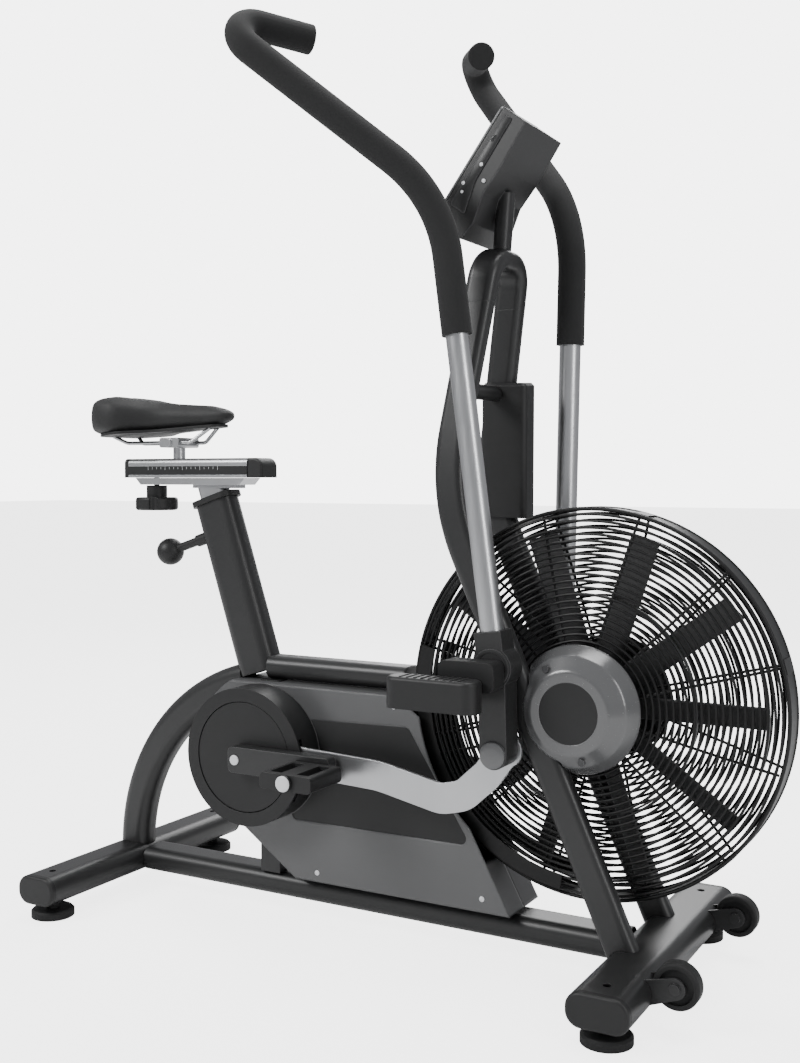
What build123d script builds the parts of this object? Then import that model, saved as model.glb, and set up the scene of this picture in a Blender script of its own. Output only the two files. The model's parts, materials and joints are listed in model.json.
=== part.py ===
from build123d import *
import os
from math import acos, asin, atan2, cos, degrees, hypot, radians, sin, sqrt, tan

# An air bike. X points forward, Y to the rider's left and Z up, in millimetres.
# Plan positions are counted from the rear feet, heights from the floor.
# At the end every piece is moved back by half of the length, so that the
# origin is on the floor below the middle of the machine.

# ---------------------------------------------------------------- clearances
RUNNING_GAP = 0.05      # radial play of a shaft in its bore
SLIDE_GAP = 0.5         # play between telescoping tubes
RAIL_GAP = 0.4          # air between the saddle rail and its base
MOVE_GAP = 1.5          # air between pieces that move past each other
SEAT_GAP = 0.2          # air between pieces bolted together across a face
BELT_GAP = 0.3          # air between the belt and a pulley

# ---------------------------------------------------------------- floor frame
WALL = 2.5              # of every steel tube
WHEELBASE = 1023.0      # rear feet to front feet
FOOT_Y = 227.0
FOOT_RADIUS = 37.0
FOOT_HEIGHT = 14.0
FOOT_CHAMFER = 3.5
FOOT_STUD_RADIUS = 6.0
FOOT_NUT_RADIUS = 11.0
STABILISER_LENGTH = 516.0
STABILISER_Z = 53.0
STABILISER_HEIGHT = 50.0
STABILISER_CORNER = 22.5
REAR_STABILISER_DEPTH = 80.0
FRONT_STABILISER_DEPTH = 92.0
STABILISER_CAP = 12.0
CAP_PLUG = 8.0
CAP_ROUND = 5.0
RAIL_WIDTH = 70.0
RAIL_HEIGHT = 42.0
WHEEL_RADIUS = 33.0
WHEEL_WIDTH = 24.0
WHEEL_Y = 160.0
WHEEL_Z = 70.0
WHEEL_HUB_RADIUS = 11.0
WHEEL_RIM = 8.0
WHEEL_RECESS = 4.0
WHEEL_AXLE_RADIUS = 5.0
AXLE_HEAD_RADIUS = 8.0
AXLE_HEAD = 4.0
FORK_PLATE = 4.0
FORK_EAR_RADIUS = 15.0
FORK_ROOT_HEIGHT = 34.0

# ---------------------------------------------------------------- rear frame
ARCH_RADIUS = 345.0
ARCH_CENTRE = (345.0, 70.0)
ARCH_DEPTH = 62.0
ARCH_WIDTH = 48.0
ARCH_TOP_ANGLE = 104.0
SEAT_LEAN = 18.0        # degrees back from upright
SEAT_TOP = (192.0, 724.0)
SEAT_TUBE_LENGTH = 318.0
SEAT_TUBE_DEPTH = 80.0
SEAT_TUBE_WIDTH = 50.0
BEAM_START_X = 318.0
BEAM_END_X = 592.0
BEAM_WIDTH = 56.0
BEAM_HEIGHT = 40.0
BEAM_Z = 434.0
BEAM_CAP = 5.0

# ---------------------------------------------------------------- seat post
SEAT_COLLAR = 10.0
COLLAR_LIP = 4.0
COLLAR_PLUG = 40.0
COLLAR_CORNER_SHARE = 0.42      # of the tube's width
POST_DEPTH = 56.0
POST_WIDTH = 30.0
POST_CORNER = 10.0
POST_INSERTED = 230.0
POST_HEAD_X = (-34.0, 62.0)     # from the post's axis
POST_HEAD = 6.0
PIN_DROP = 55.0         # from the tube's top down to the pull pin
PIN_RADIUS_THIN = 5.0
PIN_STEM_RADIUS = 8.0
PIN_REACH = 93.0        # from the tube's rear face to the ball's centre
BARREL_RADIUS = 11.0
BARREL_LENGTH = 24.0
BALL_RADIUS = 25.0
POST_HOLES = 9
POST_HOLE_PITCH = 20.0
POST_HOLE_DEPTH = 6.0

# ---------------------------------------------------------------- saddle and its slide
BASE_X = (20.0, 271.0)
BASE_HEIGHT = 13.0
BASE_CHAMFER = 12.0
SLIDE_X = (4.0, 276.0)
SLIDE_WIDTH = 50.0
SLIDE_BOTTOM = 768.0
SLIDE_HEIGHT = 35.0
SLIDE_ROUND = 9.0
SLIDE_BAND = 16.0
BAND_DEPTH = 1.2
SLIDE_CAP_FRONT = 32.0
SLIDE_CAP_REAR = 9.0
T_NECK = 8.0            # half-width of the slot's neck
T_HEAD = 15.0           # half-width of the slot's head
T_DEPTHS = (8.0, 18.0)  # heights of the head's floor and roof above the rail's bottom
KNOB_X = 51.0
KNOB_RADIUS = 39.0
KNOB_HEIGHT = 24.0
KNOB_NECK_RADIUS = 19.0
KNOB_NECK = 22.0
KNOB_SCREW_RADIUS = 5.0
KNOB_LOBES = 6
KNOB_FLUTE_RADIUS = 10.0
SADDLE_POST_X = 105.0
SADDLE_POST_RADIUS = 11.0
SADDLE_POST_SEAT = 6.0
SADDLE_TAIL_X = -62.0
SADDLE_NOSE_X = 230.0
SADDLE_WIDE_X = 10.0
SADDLE_WAIST_X = 75.0
SADDLE_TAIL_HALF = 70.0
SADDLE_WIDE_HALF = 97.0
SADDLE_WAIST_HALF = 45.0
SADDLE_NOSE_HALF = 24.0
SADDLE_ROUNDS = (40.0, 40.0, 80.0, 22.0)
SADDLE_BOTTOM = (847.0, 866.0)      # at the tail and at the nose
SADDLE_CROWN_X = -45.0
SADDLE_CROWN_Z = 916.0
SADDLE_DIP_X = 94.0
SADDLE_DIP_Z = 898.0
SADDLE_TAIL_Z = 900.0
SADDLE_NOSE_Z = 892.0
SHELL_INSET = 0.86
SHELL_THICKNESS = 5.0
WIRE_RADIUS = 3.5
WIRE_Y = 22.0
WIRE_Z = 832.0
WIRE_ROUND = 18.0
JAW_X = 22.0
JAW_Y = 30.0
JAW_Z = 9.0
CLAMP_BOLT_RADIUS = 4.0

# ---------------------------------------------------------------- drive
CRANK_X = 330.0
CRANK_Z = 293.0
CRANK_AXLE_RADIUS = 10.0
CRANK_REACH = 166.0
CRANK_ARM_HEIGHT = 44.0
CRANK_ARM_WIDTH = 22.0
CRANK_ARM_BACK = 14.0
CRANK_DISC_RADIUS = 93.5
CRANK_DISC = 3.0
PIN_OFFSET = (7.5, 18.0)    # link pin from the crank axis, on the right side
PIN_RADIUS = 12.0
WEB_THICKNESS = 6.0
WEB_RADIUS = 20.0
SHELL_RADIUS = 26.0
SHELL_Y = (-45.0, 5.0)
POST_X_HALF = 20.0
POST_Y = (-34.0, -8.0)
BEARING_RADIUS = 20.0
BEARING_WIDTH = 12.0
DRIVE_PULLEY_RADIUS = 72.0
FAN_PULLEY_RADIUS = 28.0
PULLEY_EDGE = 2.0
BELT_Y = 13.0
BELT_WIDTH = 10.0
BELT_THICKNESS = 4.0
PEDAL_LENGTH = 96.0
PEDAL_WIDTH = 90.0
PEDAL_HEIGHT = 26.0
PEDAL_WALL = 12.0
PEDAL_ROUND = 8.0
SPINDLE_RADIUS = 7.0
SPINDLE_CAP_RADIUS = 13.0
SPINDLE_CAP = 4.0
CRANK_BOLT_RADIUS = 7.0
CRANK_BOLT = 2.0

# ---------------------------------------------------------------- shroud
SHROUD_Y = 57.0
SHROUD_WALL = 3.0
SHROUD_REAR_RADIUS = 137.0
SHROUD_BOTTOM = 80.0
SHROUD_TOP = 412.0
SHROUD_SHOULDER = (641.0, 380.0)
SHROUD_FRONT_RADIUS = 281.0
SHROUD_FOOT = (801.0, 80.0)
SHROUD_HOLE_RADIUS = 14.0
SHROUD_OPENING_RADIUS = 308.0
PANEL_DEPTH = 1.5
PANEL_CORNERS = ((415.0, 357.0), (620.0, 362.0), (733.0, 184.0), (390.0, 182.0))
PANEL_ROUND = 10.0
DRUM_RADIUS = 118.0
DRUM_WALL = 5.0
BEZEL_INNER_RADIUS = 95.0
BEZEL_THICKNESS = 4.0
DRUM_SLOT = (66.0, 40.0)    # below and above the crank axis

# ---------------------------------------------------------------- fan and guard
FAN_X = 918.0
FAN_Z = 421.0
GUARD_RADIUS = 300.0
GUARD_HALF_WIDTH = 27.0
GUARD_HUB_Y = 61.0
GUARD_INNER_RADIUS = 82.0
GUARD_OUTER_RING = 292.0
GUARD_RINGS = 22
GUARD_SPOKES = 12
GUARD_WIRE_RADIUS = 2.2
GUARD_WIRE_SIDES = 8
GUARD_SPOKE_RADIUS = 2.2
GUARD_EDGE_RADIUS = 3.0
GUARD_BAND = 2.4
BELT_ROOM = 2.0
BELT_WINDOW = 172.0
SKIRT_INNER_RADIUS = 268.0
SKIRT_ANGLES = (165.0, 262.0)
SKIRT_THICKNESS = 2.0
CLIPS = 6
CLIP_ANGLE = 15.0
CLIP_WIDTH = 22.0
CLIP_THICKNESS = 2.0
FAN_RADIUS = 272.0
FAN_BLADES = 10
FAN_BLADE_WIDTH = 28.0
FAN_BLADE_CHORD = 60.0
FAN_BLADE_PITCH = 38.0      # degrees
FAN_BLADE_THICKNESS = 1.6
FAN_HOOP = 3.0
FAN_HOOP_WIDTH = 6.0
FAN_MIDDLE_HOOP_RADIUS = 170.0
FAN_HUB_RADIUS = 48.0
FAN_BARREL_RADIUS = 24.0
FAN_HUB_HALF_WIDTH = 44.0
FAN_AXLE_RADIUS = 8.5
AXLE_PLATE = 6.0
AXLE_PLATE_EYE = 26.0
AXLE_PLATE_FOOT = 16.0
AXLE_PLATE_ENDS = (-70.0, 40.0)     # along the leg, from the fan axis
AXLE_NUT_RADIUS = 15.0
AXLE_NUT = 12.0
AXLE_SPACER_RADIUS = 13.0
HUB_COVER_RADIUS = 98.0
HUB_SHOULDER = (84.0, 96.0)         # radius and |y|
HUB_FACE_RADIUS = 62.0
HUB_COVER_Y = 112.0
HUB_COVER_WALL = 3.0
HUB_COVER_ROUND = 9.0
HUB_BADGE_RADIUS = 46.0
BADGE_DEPTH = 1.5
HUB_SCREW_CIRCLE = 74.0
HUB_SCREW_ANGLES = (120.0, 286.0)   # from +X towards +Z
HUB_SCREW_RADIUS = 3.0
HUB_SCREW_HEAD = 5.5
HUB_SCREW_LENGTH = 20.0

# ---------------------------------------------------------------- legs and mast
LEG_Y = 86.0
LEG_WIDTH = 30.0
LEG_DEPTH = 50.0
PIVOT_X = 812.0
PIVOT_Z = 486.0
LEG_FOOT_X = 1004.0
MAST_BEND_X = 698.0
MAST_BEND_RADIUS = 330.0
MAST_TOP_X = 757.0
MAST_TOP_Z = 1112.0
MAST_TOP_Y = 50.0
CROWN_RADIUS = 42.0
CROWN_SPLIT_Z = 1040.0
BRACE_Z = 905.0
BRACE_RADIUS = 12.5
SLEEVE_LOW = (731.0, 85.0, 704.0)
SLEEVE_HIGH = (739.0, 68.0, 924.0)
SLEEVE_DEPTH = 80.0
SLEEVE_WIDTH = 44.0
SLEEVE_CORNER = 9.0
SLEEVE_CHAMFER = 5.0

# ---------------------------------------------------------------- levers and links
LEVER_Y = 132.0
LEVER_TUBE_RADIUS = 17.5
LEVER_TUBE_WALL = 2.0
LEVER_LEAN = 7.7        # degrees back, right lever at rest
ROCKER = 130.0          # lever pivot to lower joint
LINK = 480.0            # crank pin to lower joint
LINK_THICKNESS = 6.0
LINK_HALF_WIDTH = 24.0
LINK_EYE_RADIUS = 31.0
LINK_FRONT_RADIUS = 27.0    # slim, to clear the hub cover
LINK_HOLE_RADIUS = 10.0
LINK_ROUTE = ((111.0, -25.0), (253.0, -44.5), (362.0, -78.0), (402.5, -72.0), (446.0, -39.0))
LINK_ROUNDS = (160.0, 200.0, 45.0, 45.0, 35.0)
LINK_LEVER_GAP = 1.0
LEVER_BOSS_RADIUS = 32.0
LEVER_AXLE_RADIUS = 11.0
JOINT_BOSS_RADIUS = 22.0
JOINT_CAP_RADIUS = 21.0
JOINT_CAP = 2.0
GRIP_RADIUS = 23.0
GRIP_END = 5.0
SOCKET_WALL = 2.0
SOCKET_DEPTH = 44.0
SOCKET_TOP = 54.0
SOCKET_START = 12.0
SLEEVE_START = 501.0
HANDLE_BEND = (0.0, 0.0, 712.0)     # lever frame: forward, outward, up from the pivot
HANDLE_TOP = (-283.0, 168.0, 1034.0)
HANDLE_END = (-185.0, 22.0, 1003.0)
HANDLE_BEND_RADIUS = 220.0
HANDLE_TOP_RADIUS = 36.0

# ---------------------------------------------------------------- footrests
FOOTREST_Y = (190.0, 235.0)
FOOTREST_X = (674.0, 822.0)
FOOTREST_Z = 452.0
FOOTREST_HEIGHT = 47.0
FOOTREST_ROUND = 18.0
FOOTREST_ARM_X = 743.0
FOOTREST_ARM_HEIGHT = 44.0
FOOTREST_ARM_Z = 477.0

# ---------------------------------------------------------------- console
CONSOLE_LOW = (690.0, 1192.0)
CONSOLE_HIGH = (792.0, 1330.0)
CONSOLE_WIDTH = 140.0
CONSOLE_WALL = 3.0
CONSOLE_PANEL = 11.0
CONSOLE_DEPTH = 46.0
CONSOLE_BACK = ((95.0, 50.0), (50.0, 48.0), (4.0, 60.0), (-26.0, 56.0), (-30.0, 34.0))
SCREEN_ALONG = (46.0, 152.0)
SCREEN_WIDTH = 112.0
SCREEN_THICKNESS = 0.8
NECK_DEPTH = 26.0
NECK_WIDTH = 30.0
NECK_TOP = (765.0, 1216.0)

# ---------------------------------------------------------------- worked out
LEG_SLOPE = (LEG_FOOT_X - PIVOT_X) / (PIVOT_Z - STABILISER_Z)
LEG_OUTER_Y = LEG_Y + LEG_WIDTH / 2
LEG_INNER_Y = LEG_Y - LEG_WIDTH / 2
MAST_BEND_Z = PIVOT_Z + (PIVOT_X - MAST_BEND_X) / LEG_SLOPE
LINK_Y = LEG_OUTER_Y + MOVE_GAP
LINK_OUTER_Y = LINK_Y + LINK_THICKNESS
WEB_Y = LINK_Y - MOVE_GAP - WEB_THICKNESS
BEZEL_Y = LINK_OUTER_Y + MOVE_GAP
BEZEL_OUTER_Y = BEZEL_Y + BEZEL_THICKNESS
ARM_Y = BEZEL_OUTER_Y + MOVE_GAP
ARM_OUTER_Y = ARM_Y + CRANK_ARM_WIDTH
PEDAL_Y = ARM_OUTER_Y + 2 * MOVE_GAP
LEVER_INNER_Y = LINK_OUTER_Y + LINK_LEVER_GAP
LEVER_OUTER_Y = LEVER_Y + LEVER_TUBE_RADIUS + SOCKET_WALL
FOOTREST_ARM_Y = LEVER_OUTER_Y + MOVE_GAP
PLATE_Y = LEG_INNER_Y - AXLE_PLATE
PULLEY_Y = (BELT_Y - BELT_WIDTH / 2 - PULLEY_EDGE, BELT_Y + BELT_WIDTH / 2 + PULLEY_EDGE)
BLADE_Y = (PULLEY_Y[0] - PULLEY_EDGE - FAN_BLADE_WIDTH, PULLEY_Y[0] - PULLEY_EDGE)
STABILISER_TOP = STABILISER_Z + STABILISER_HEIGHT / 2
FRONT_CORNER_X = WHEELBASE + FRONT_STABILISER_DEPTH / 2 - STABILISER_CORNER
WHEEL_REACH = STABILISER_CORNER + WHEEL_RADIUS + MOVE_GAP
WHEEL_X = FRONT_CORNER_X + sqrt(WHEEL_REACH**2 - (WHEEL_Z - STABILISER_TOP + STABILISER_CORNER) ** 2)
CONSOLE_LENGTH = hypot(CONSOLE_HIGH[0] - CONSOLE_LOW[0], CONSOLE_HIGH[1] - CONSOLE_LOW[1])
X_MIDDLE = (FAN_X + GUARD_RADIUS + GUARD_EDGE_RADIUS + SADDLE_TAIL_X) / 2

NODES = {}


# ---------------------------------------------------------------- small tools
def prism_y(profile, y0, y1):
    """A profile drawn in (x, z), extruded from y0 to y1."""
    face = Pos(0, y1, 0) * (Plane.XZ * profile)
    return extrude(face, amount=y1 - y0, dir=(0, -1, 0))


def cyl_y(radius, x, z, y0, y1):
    """A round bar along Y."""
    return prism_y(Pos(x, z) * Circle(radius), y0, y1)


def ring_y(outer, inner, x, z, y0, y1):
    """A round tube along Y."""
    return prism_y(Pos(x, z) * (Circle(outer) - Circle(inner)), y0, y1)


def block(x, y, z):
    """A box from three (low, high) pairs."""
    size = (x[1] - x[0], y[1] - y[0], z[1] - z[0])
    middle = ((x[0] + x[1]) / 2, (y[0] + y[1]) / 2, (z[0] + z[1]) / 2)
    return Pos(*middle) * Box(*size)


def other_side(shape):
    """The same shape on the other side of the middle plane."""
    return mirror(shape, about=Plane.XZ)


def bar_section(start, axis, depth, width, inset=0.0):
    """A rounded rectangle across a tube, its depth in the XZ plane."""
    plane = Plane(start, x_dir=(axis[2], 0, -axis[0]), z_dir=axis)
    corner = 0.42 * min(depth, width) - inset
    return plane * RectangleRounded(depth - 2 * inset, width - 2 * inset, corner)


def straight_tube(start, end, depth, width, wall=WALL):
    """A straight rounded-rectangle tube."""
    axis = Vector(*end) - Vector(*start)
    way = (axis.X, axis.Y, axis.Z)
    outer = extrude(bar_section(start, way, depth, width), amount=axis.length, dir=way)
    inner = extrude(bar_section(start, way, depth, width, wall), amount=axis.length, dir=way)
    return outer - inner


def bent_tube(path, depth, width, wall=WALL):
    """A rounded-rectangle tube swept along a path."""
    start = path @ 0
    way = path % 0
    at = (start.X, start.Y, start.Z)
    axis = (way.X, way.Y, way.Z)
    outer = sweep(bar_section(at, axis, depth, width), path=path)
    inner = sweep(bar_section(at, axis, depth, width, wall), path=path)
    return outer - inner


def circle_on(path, radius):
    """A circle across the start of a path."""
    return Plane(origin=path @ 0, z_dir=path % 0) * Circle(radius)


def add(name, shape):
    """Names a finished piece."""
    NODES[name] = shape


def add_pair(name, shape):
    """Names a left piece and its mirrored right piece."""
    add(name + "_left", shape)
    add(name + "_right", other_side(shape))


def group(shapes):
    """Separate solids under one name."""
    return Compound(children=[s for shape in shapes for s in shape.solids()])


def leg_x(z):
    """Where the middle of a leg is at a height."""
    return PIVOT_X + (PIVOT_Z - z) * LEG_SLOPE


def lower_joint(pin):
    """The lever's lower joint for a link pin, where the link's and the lever's circles meet."""
    dx = PIVOT_X - pin[0]
    dz = PIVOT_Z - pin[1]
    span = hypot(dx, dz)
    turn = acos((LINK**2 + span**2 - ROCKER**2) / (2 * LINK * span))
    angle = atan2(dz, dx) - turn
    return (pin[0] + LINK * cos(angle), pin[1] + LINK * sin(angle))


def rocker_angle(joint):
    """How far the lower joint stands forward of straight down, in degrees."""
    return degrees(asin((joint[0] - PIVOT_X) / ROCKER))


PIN_RIGHT = (CRANK_X + PIN_OFFSET[0], CRANK_Z + PIN_OFFSET[1])
PIN_LEFT = (CRANK_X - PIN_OFFSET[0], CRANK_Z - PIN_OFFSET[1])
JOINT_RIGHT = lower_joint(PIN_RIGHT)
JOINT_LEFT = lower_joint(PIN_LEFT)
LEAN_LEFT = LEVER_LEAN - rocker_angle(JOINT_RIGHT) + rocker_angle(JOINT_LEFT)
ROCKER_BEND = LEVER_LEAN - rocker_angle(JOINT_RIGHT)


def stabiliser_section(x, depth, inset=0.0):
    """The rounded section of a stabiliser tube."""
    corner = STABILISER_CORNER - inset
    section = RectangleRounded(depth - 2 * inset, STABILISER_HEIGHT - 2 * inset, corner)
    return Pos(x, STABILISER_Z) * section


def seat_point(along, across=0.0):
    """A point on the seat tube: along its axis from the top, and forward across it."""
    lean = radians(SEAT_LEAN)
    x = SEAT_TOP[0] - along * sin(lean) + across * cos(lean)
    z = SEAT_TOP[1] + along * cos(lean) + across * sin(lean)
    return (x, 0, z)


SEAT_UP = (-sin(radians(SEAT_LEAN)), 0, cos(radians(SEAT_LEAN)))
SEAT_BACK = (-cos(radians(SEAT_LEAN)), 0, -sin(radians(SEAT_LEAN)))


# ---------------------------------------------------------------- floor frame
def stabiliser(x, depth):
    half = STABILISER_LENGTH / 2
    tube = prism_y(stabiliser_section(x, depth), -half, half)
    tube -= prism_y(stabiliser_section(x, depth, WALL), -half, half)
    for y in (-FOOT_Y, FOOT_Y):
        tube -= Pos(x, y, STABILISER_Z) * Cylinder(FOOT_STUD_RADIUS, STABILISER_HEIGHT * 2)
    return tube


def stabiliser_cap(x, depth):
    """A plastic end cap with a plug that fills the tube's end."""
    half = STABILISER_LENGTH / 2
    cap = prism_y(stabiliser_section(x, depth), half, half + STABILISER_CAP)
    cap = fillet(cap.faces().sort_by(Axis.Y)[-1].edges(), CAP_ROUND)
    return cap + prism_y(stabiliser_section(x, depth, WALL + SEAT_GAP), half - CAP_PLUG, half)


def levelling_foot(x, y):
    """A round rubber foot, and its threaded stud with a lock nut under the tube."""
    pad = Pos(x, y, FOOT_HEIGHT / 2) * Cylinder(FOOT_RADIUS, FOOT_HEIGHT)
    pad = chamfer(pad.faces().sort_by(Axis.Z)[-1].edges(), FOOT_CHAMFER)
    length = STABILISER_Z - FOOT_HEIGHT
    stud = Pos(x, y, FOOT_HEIGHT + length / 2) * Cylinder(FOOT_STUD_RADIUS - RUNNING_GAP, length)
    nut_height = STABILISER_Z - STABILISER_HEIGHT / 2 - FOOT_HEIGHT - SEAT_GAP
    nut = Pos(x, y, FOOT_HEIGHT) * extrude(RegularPolygon(FOOT_NUT_RADIUS, 6), amount=nut_height)
    return group([pad, stud + nut])


def floor_frame():
    add("rear_stabiliser", stabiliser(0, REAR_STABILISER_DEPTH))
    add("front_stabiliser", stabiliser(WHEELBASE, FRONT_STABILISER_DEPTH))
    rear_cap = stabiliser_cap(0, REAR_STABILISER_DEPTH)
    front_cap = stabiliser_cap(WHEELBASE, FRONT_STABILISER_DEPTH)
    add("stabiliser_end_caps", group([rear_cap, other_side(rear_cap), front_cap, other_side(front_cap)]))
    places = [(x, y) for x in (0, WHEELBASE) for y in (-FOOT_Y, FOOT_Y)]
    add("levelling_feet", group([levelling_foot(x, y) for x, y in places]))
    start = REAR_STABILISER_DEPTH / 2
    end = WHEELBASE - FRONT_STABILISER_DEPTH / 2
    rail = straight_tube((start, 0, STABILISER_Z), (end, 0, STABILISER_Z), RAIL_HEIGHT, RAIL_WIDTH)
    add("main_rail", rail)


def wheel_fork():
    """Two ears welded to the front stabiliser, one each side of a wheel, and the axle."""
    gap = WHEEL_WIDTH / 2 + MOVE_GAP
    ear = Pos(WHEEL_X, WHEEL_Z) * Circle(FORK_EAR_RADIUS)
    root = Pos(FRONT_CORNER_X, STABILISER_Z) * Rectangle(FORK_EAR_RADIUS, FORK_ROOT_HEIGHT)
    profile = make_hull(ear.edges() + root.edges())
    profile -= stabiliser_section(WHEELBASE, FRONT_STABILISER_DEPTH)
    profile -= Pos(WHEEL_X, WHEEL_Z) * Circle(WHEEL_AXLE_RADIUS)
    inner = prism_y(profile, WHEEL_Y - gap - FORK_PLATE, WHEEL_Y - gap)
    outer = prism_y(profile, WHEEL_Y + gap, WHEEL_Y + gap + FORK_PLATE)
    reach = gap + FORK_PLATE
    axle = cyl_y(WHEEL_AXLE_RADIUS, WHEEL_X, WHEEL_Z, WHEEL_Y - reach, WHEEL_Y + reach)
    head = cyl_y(AXLE_HEAD_RADIUS, WHEEL_X, WHEEL_Z, WHEEL_Y + reach, WHEEL_Y + reach + AXLE_HEAD)
    nut = cyl_y(AXLE_HEAD_RADIUS, WHEEL_X, WHEEL_Z, WHEEL_Y - reach - AXLE_HEAD, WHEEL_Y - reach)
    return group([inner, outer, axle + head + nut])


def transport_wheel():
    """A wheel with a rounded tread and a recessed web."""
    half = WHEEL_WIDTH / 2
    body = cyl_y(WHEEL_RADIUS, WHEEL_X, WHEEL_Z, WHEEL_Y - half, WHEEL_Y + half)
    body = fillet(body.edges(), WHEEL_RECESS)
    for start in (WHEEL_Y - half, WHEEL_Y + half - WHEEL_RECESS):
        rim = WHEEL_RADIUS - WHEEL_RIM
        body -= ring_y(rim, WHEEL_HUB_RADIUS, WHEEL_X, WHEEL_Z, start, start + WHEEL_RECESS)
    bore = WHEEL_AXLE_RADIUS + RUNNING_GAP
    return body - cyl_y(bore, WHEEL_X, WHEEL_Z, WHEEL_Y - half, WHEEL_Y + half)


def transport_wheels():
    fork = wheel_fork()
    add("wheel_forks", group([fork, other_side(fork)]))
    add_pair("transport_wheel", transport_wheel())


# ---------------------------------------------------------------- rear frame
def seat_tube_outside(room=0.0):
    """The solid outline of the seat tube, with room left round it."""
    start = seat_point(-SEAT_TUBE_LENGTH - room)
    section = bar_section(start, SEAT_UP, SEAT_TUBE_DEPTH, SEAT_TUBE_WIDTH, -room)
    return extrude(section, amount=SEAT_TUBE_LENGTH + room, dir=SEAT_UP)


def arch_path():
    plane = Plane((ARCH_CENTRE[0], 0, ARCH_CENTRE[1]), x_dir=(1, 0, 0), z_dir=(0, -1, 0))
    return Wire([plane * CenterArc((0, 0), ARCH_RADIUS, 180, ARCH_TOP_ANGLE - 180)])


def arch_outside(room=0.0):
    """The solid outline of the rear arch, with room left round it."""
    path = arch_path()
    section = bar_section(tuple(path @ 0), tuple(path % 0), ARCH_DEPTH, ARCH_WIDTH, -room)
    return sweep(section, path=path)


def rear_frame():
    arch = bent_tube(arch_path(), ARCH_DEPTH, ARCH_WIDTH)
    arch -= prism_y(stabiliser_section(0, REAR_STABILISER_DEPTH), -ARCH_WIDTH, ARCH_WIDTH)
    add("rear_arch", arch - seat_tube_outside())
    seat_tube = straight_tube(seat_point(-SEAT_TUBE_LENGTH), seat_point(0), SEAT_TUBE_DEPTH, SEAT_TUBE_WIDTH)
    hole_plane = Plane(seat_point(-PIN_DROP, -SEAT_TUBE_DEPTH), z_dir=SEAT_BACK)
    hole = hole_plane * Circle(PIN_RADIUS_THIN + RUNNING_GAP)
    add("seat_tube", seat_tube - extrude(hole, amount=-SEAT_TUBE_DEPTH))
    start = (BEAM_START_X, 0, BEAM_Z)
    beam = straight_tube(start, (BEAM_END_X, 0, BEAM_Z), BEAM_HEIGHT, BEAM_WIDTH)
    cap = extrude(bar_section((BEAM_END_X, 0, BEAM_Z), (1, 0, 0), BEAM_HEIGHT, BEAM_WIDTH), amount=BEAM_CAP)
    cap = chamfer(cap.faces().sort_by(Axis.X)[-1].edges(), BEAM_CAP / 2)
    add("top_beam", group([beam - seat_tube_outside(), cap]))


# ---------------------------------------------------------------- seat post and pull pin
def along_seat(profile, start, length):
    """A section drawn across the seat tube, extruded up its axis."""
    plane = Plane(seat_point(start), x_dir=(SEAT_UP[2], 0, -SEAT_UP[0]), z_dir=SEAT_UP)
    return extrude(plane * profile, amount=length, dir=SEAT_UP)


def seat_collar():
    """A lipped plastic bush between the tube and the post."""
    depth = POST_DEPTH + 2 * SLIDE_GAP
    width = POST_WIDTH + 2 * SLIDE_GAP
    bore = RectangleRounded(depth, width, POST_CORNER + SLIDE_GAP)
    lip_size = (SEAT_TUBE_DEPTH + 2 * COLLAR_LIP, SEAT_TUBE_WIDTH + 2 * COLLAR_LIP)
    lip = RectangleRounded(*lip_size, 2 * POST_CORNER)
    inset = 2 * (WALL + SEAT_GAP)
    inner_corner = SEAT_TUBE_WIDTH * COLLAR_CORNER_SHARE - WALL
    inner = RectangleRounded(SEAT_TUBE_DEPTH - inset, SEAT_TUBE_WIDTH - inset, inner_corner)
    return along_seat(lip - bore, 0, SEAT_COLLAR) + along_seat(inner - bore, -COLLAR_PLUG, COLLAR_PLUG)


def seat_post():
    """The hollow post with a row of pin holes and a head plate under the rail."""
    base_bottom = SLIDE_BOTTOM - BASE_HEIGHT
    rise = (base_bottom - SEAT_TOP[1] + POST_DEPTH) / SEAT_UP[2]
    section = RectangleRounded(POST_DEPTH, POST_WIDTH, POST_CORNER)
    post = along_seat(section, -POST_INSERTED, POST_INSERTED + rise)
    hollow = RectangleRounded(POST_DEPTH - 2 * WALL, POST_WIDTH - 2 * WALL, POST_CORNER - WALL)
    post -= along_seat(hollow, -POST_INSERTED, POST_INSERTED)
    for step in range(POST_HOLES):
        middle = seat_point(-PIN_DROP - step * POST_HOLE_PITCH, -POST_DEPTH / 2)
        hole = Plane(middle, z_dir=SEAT_BACK) * Circle(PIN_RADIUS_THIN + SLIDE_GAP)
        post -= extrude(hole, amount=-POST_HOLE_DEPTH)
    above = (base_bottom, base_bottom + 3 * POST_DEPTH)
    post -= block((-POST_INSERTED, BASE_X[1]), (-POST_WIDTH, POST_WIDTH), above)
    axis_x = SEAT_TOP[0] - (base_bottom - SEAT_TOP[1]) * tan(radians(SEAT_LEAN))
    head_x = (axis_x + POST_HEAD_X[0], axis_x + POST_HEAD_X[1])
    return post + block(head_x, (-POST_WIDTH / 2, POST_WIDTH / 2), (base_bottom - POST_HEAD, base_bottom))


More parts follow.
